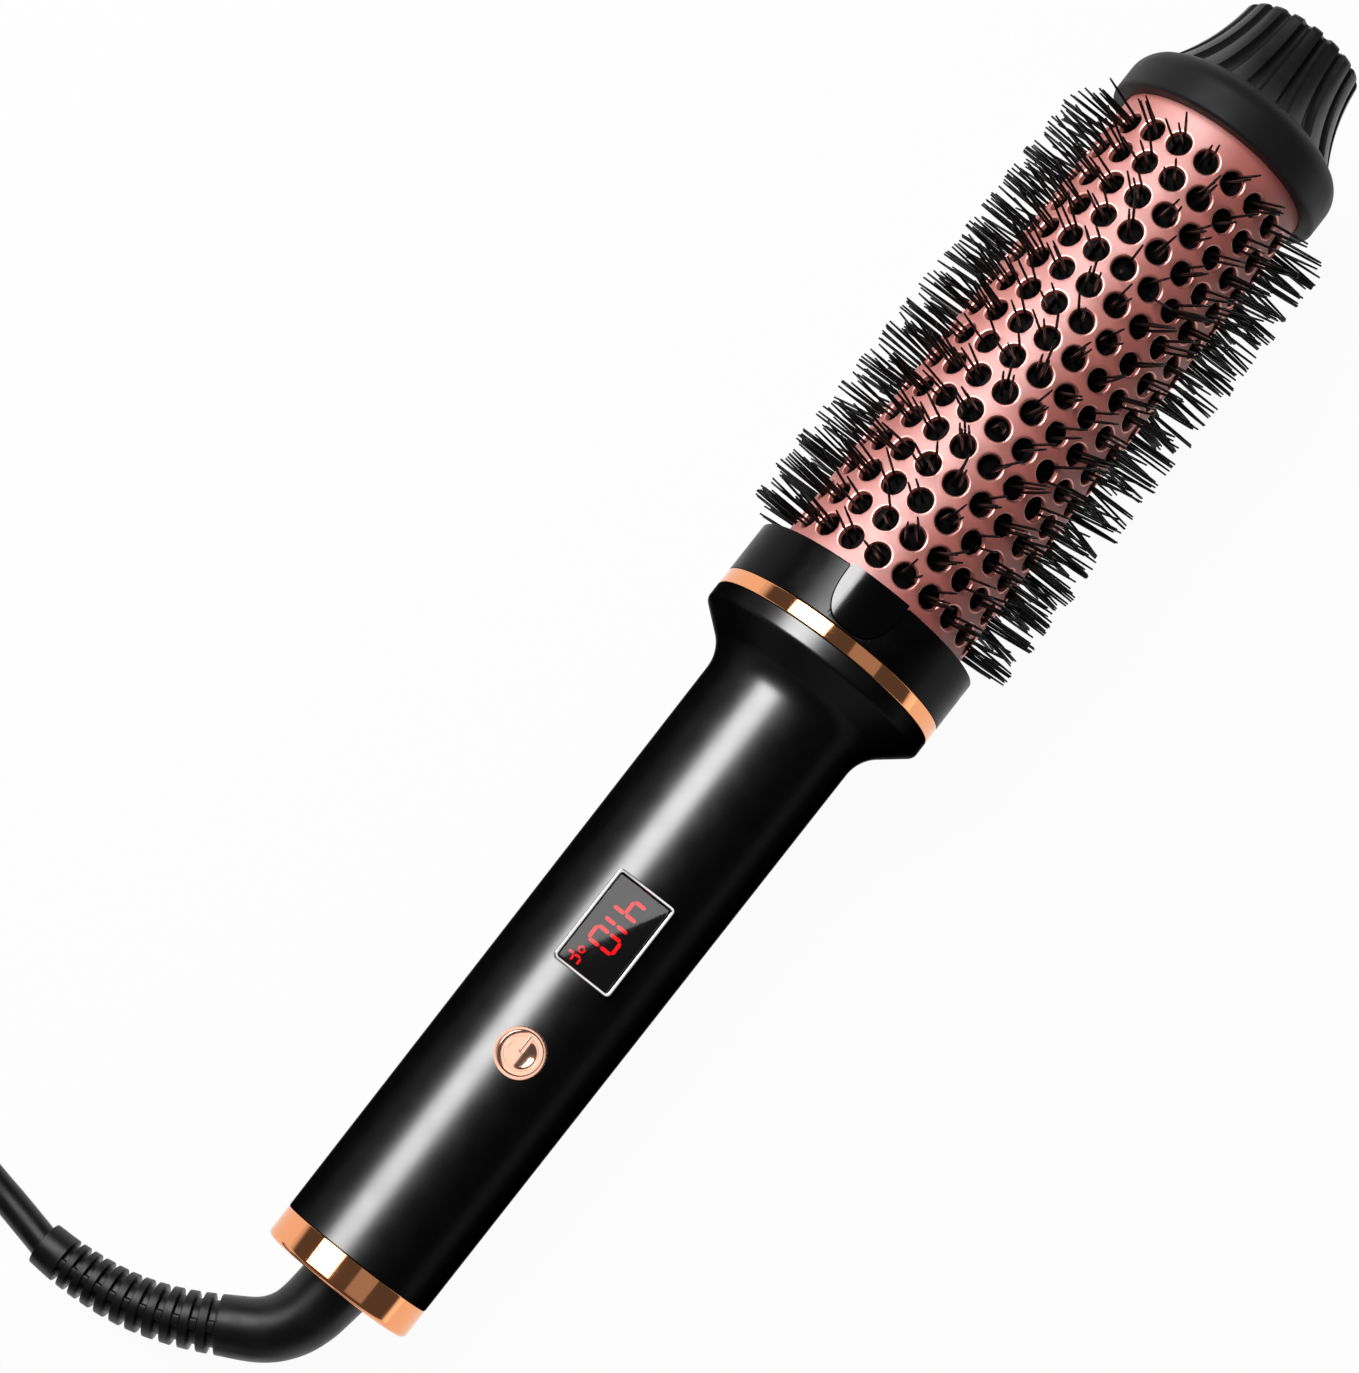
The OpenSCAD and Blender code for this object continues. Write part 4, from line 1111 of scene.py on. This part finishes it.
def make_floor():
    """A white floor that keeps a faint shadow."""
    data = bpy.data.meshes.new("floor")
    far = FLOOR_HALF
    corners = [(-far, -far, 0), (far, -far, 0), (far, far, 0), (-far, far, 0)]
    data.from_pydata(corners, [], [(0, 1, 2, 3)])
    floor = bpy.data.objects.new("floor", data)
    bpy.context.collection.objects.link(floor)
    material = bpy.data.materials.new("floor")
    material.use_nodes = True
    nodes = material.node_tree.nodes
    links = material.node_tree.links
    nodes.clear()
    paint = nodes.new("ShaderNodeBsdfDiffuse")
    paint.inputs["Color"].default_value = (0.9, 0.9, 0.9, 1)
    white = nodes.new("ShaderNodeEmission")
    white.inputs["Color"].default_value = (1, 1, 1, 1)
    share = seen_share(nodes, links, FLOOR_WHITE)
    mix = nodes.new("ShaderNodeMixShader")
    links.new(share, mix.inputs["Fac"])
    links.new(paint.outputs["BSDF"], mix.inputs[1])
    links.new(white.outputs["Emission"], mix.inputs[2])
    output = nodes.new("ShaderNodeOutputMaterial")
    links.new(mix.outputs["Shader"], output.inputs["Surface"])
    data.materials.append(material)


def make_world():
    """A pale room with a dark ceiling, in which black gloss keeps its depth."""
    world = bpy.data.worlds.new("studio")
    bpy.context.scene.world = world
    world.use_nodes = True
    nodes = world.node_tree.nodes
    links = world.node_tree.links
    nodes.clear()
    place = nodes.new("ShaderNodeTexCoord")
    split = nodes.new("ShaderNodeSeparateXYZ")
    links.new(place.outputs["Generated"], split.inputs["Vector"])
    height = nodes.new("ShaderNodeMapRange")
    height.interpolation_type = "SMOOTHSTEP"
    height.inputs["From Min"].default_value = 0.03
    height.inputs["From Max"].default_value = 0.2
    height.inputs["To Min"].default_value = WALL_LIGHT
    height.inputs["To Max"].default_value = CEILING_LIGHT
    links.new(split.outputs["Z"], height.inputs["Value"])
    room = nodes.new("ShaderNodeBackground")
    links.new(height.outputs["Result"], room.inputs["Strength"])
    ambient = nodes.new("ShaderNodeBackground")
    ambient.inputs["Strength"].default_value = AMBIENT
    mix = nodes.new("ShaderNodeMixShader")
    links.new(seen_share(nodes, links, 1.0), mix.inputs["Fac"])
    links.new(ambient.outputs["Background"], mix.inputs[1])
    links.new(room.outputs["Background"], mix.inputs[2])
    output = nodes.new("ShaderNodeOutputWorld")
    links.new(mix.outputs["Shader"], output.inputs["Surface"])


def towards(angle, forward=0.0):
    """A direction leaning from straight out of the controls to the cord's side."""
    a = math.radians(angle)
    return (forward, math.sin(a), math.cos(a))


def make_light(name, target, away, distance, size, strength, lit=(), roll=0.0):
    """An area light that stands away from a point of the brush and faces it. Its size
    is along and across the brush, and its strength is its brightness as a mirror shows
    it. Where lit names pieces, it lights only those, and only their gloss. roll turns
    it about the way it faces."""
    length, width = size
    data = bpy.data.lights.new(name, "AREA")
    data.shape = "RECTANGLE"
    data.size = length
    data.size_y = width
    data.energy = strength * math.pi * length * width
    light = bpy.data.objects.new(name, data)
    bpy.context.collection.objects.link(light)
    back = (brush_turn.to_3x3() @ Vector(away)).normalized()
    ahead = (along_brush - back * along_brush.dot(back)).normalized()
    turn = Matrix((ahead, back.cross(ahead), back)).transposed().to_4x4()
    turn = turn @ Matrix.Rotation(math.radians(roll), 4, "Z")
    place = Matrix.Translation(BRUSH @ Vector(target) + back * distance)
    light.matrix_world = place @ turn
    light.visible_camera = False
    if lit:
        light.visible_diffuse = False
        receivers = bpy.data.collections.new(name)
        for piece in lit:
            receivers.objects.link(bpy.data.objects[piece])
        light.light_linking.receiver_collection = receivers


def make_lights():
    shells = ("handle_front", "handle_back")
    bands = ("tail_band", "neck_band")
    trim = ("power_cap", "power_bar", "display_rim")
    middle = (150, 0, 0)
    make_light("key", middle, towards(35, 0.15), 0.8, (0.55, 0.35), 9.6)
    make_light("fill", middle, towards(-95, 0.1), 1.0, (0.9, 0.5), 0.5)
    make_light("gleam", middle, towards(34, 0.1), 0.8, (0.8, 0.46), 84, shells)
    make_light("gleam_collar", middle, towards(26, 0.1), 0.8, (0.8, 0.19), 34,
               ("collar_shell",))
    make_light("sheen", middle, towards(34, 0.1), 0.8, (0.8, 0.56), 6, bands)
    make_light("low_sheen", middle, towards(-26, 0.1), 0.8, (0.8, 0.42), 0.3, bands)
    make_light("glow", (200, 0, 0), towards(50, 0.1), 0.8, (0.8, 1.1), 6.2,
               ("barrel_shell",))
    make_light("pane", middle, towards(36, 0.1), 0.8, (0.8, 0.46), 26,
               ("half_moon_insert",))
    make_light("card", (60, 0, 0), towards(-15, 0.03), 0.6, (0.8, 0.4), 1.25, trim)
    make_light("glass", (141, 0, 0), towards(2.5), 0.6, (0.16, 0.1), 2.8,
               ("display_pane",), roll=-29)


make_camera()
make_cord()
dress_nodes()
make_strain_relief()
make_handle()
make_rings()
make_collar()
make_barrel()
make_bristles()
make_cap()
make_tip()
make_button()
make_display()
make_floor()
make_world()
make_lights()
bpy.context.scene.view_settings.view_transform = "Standard"
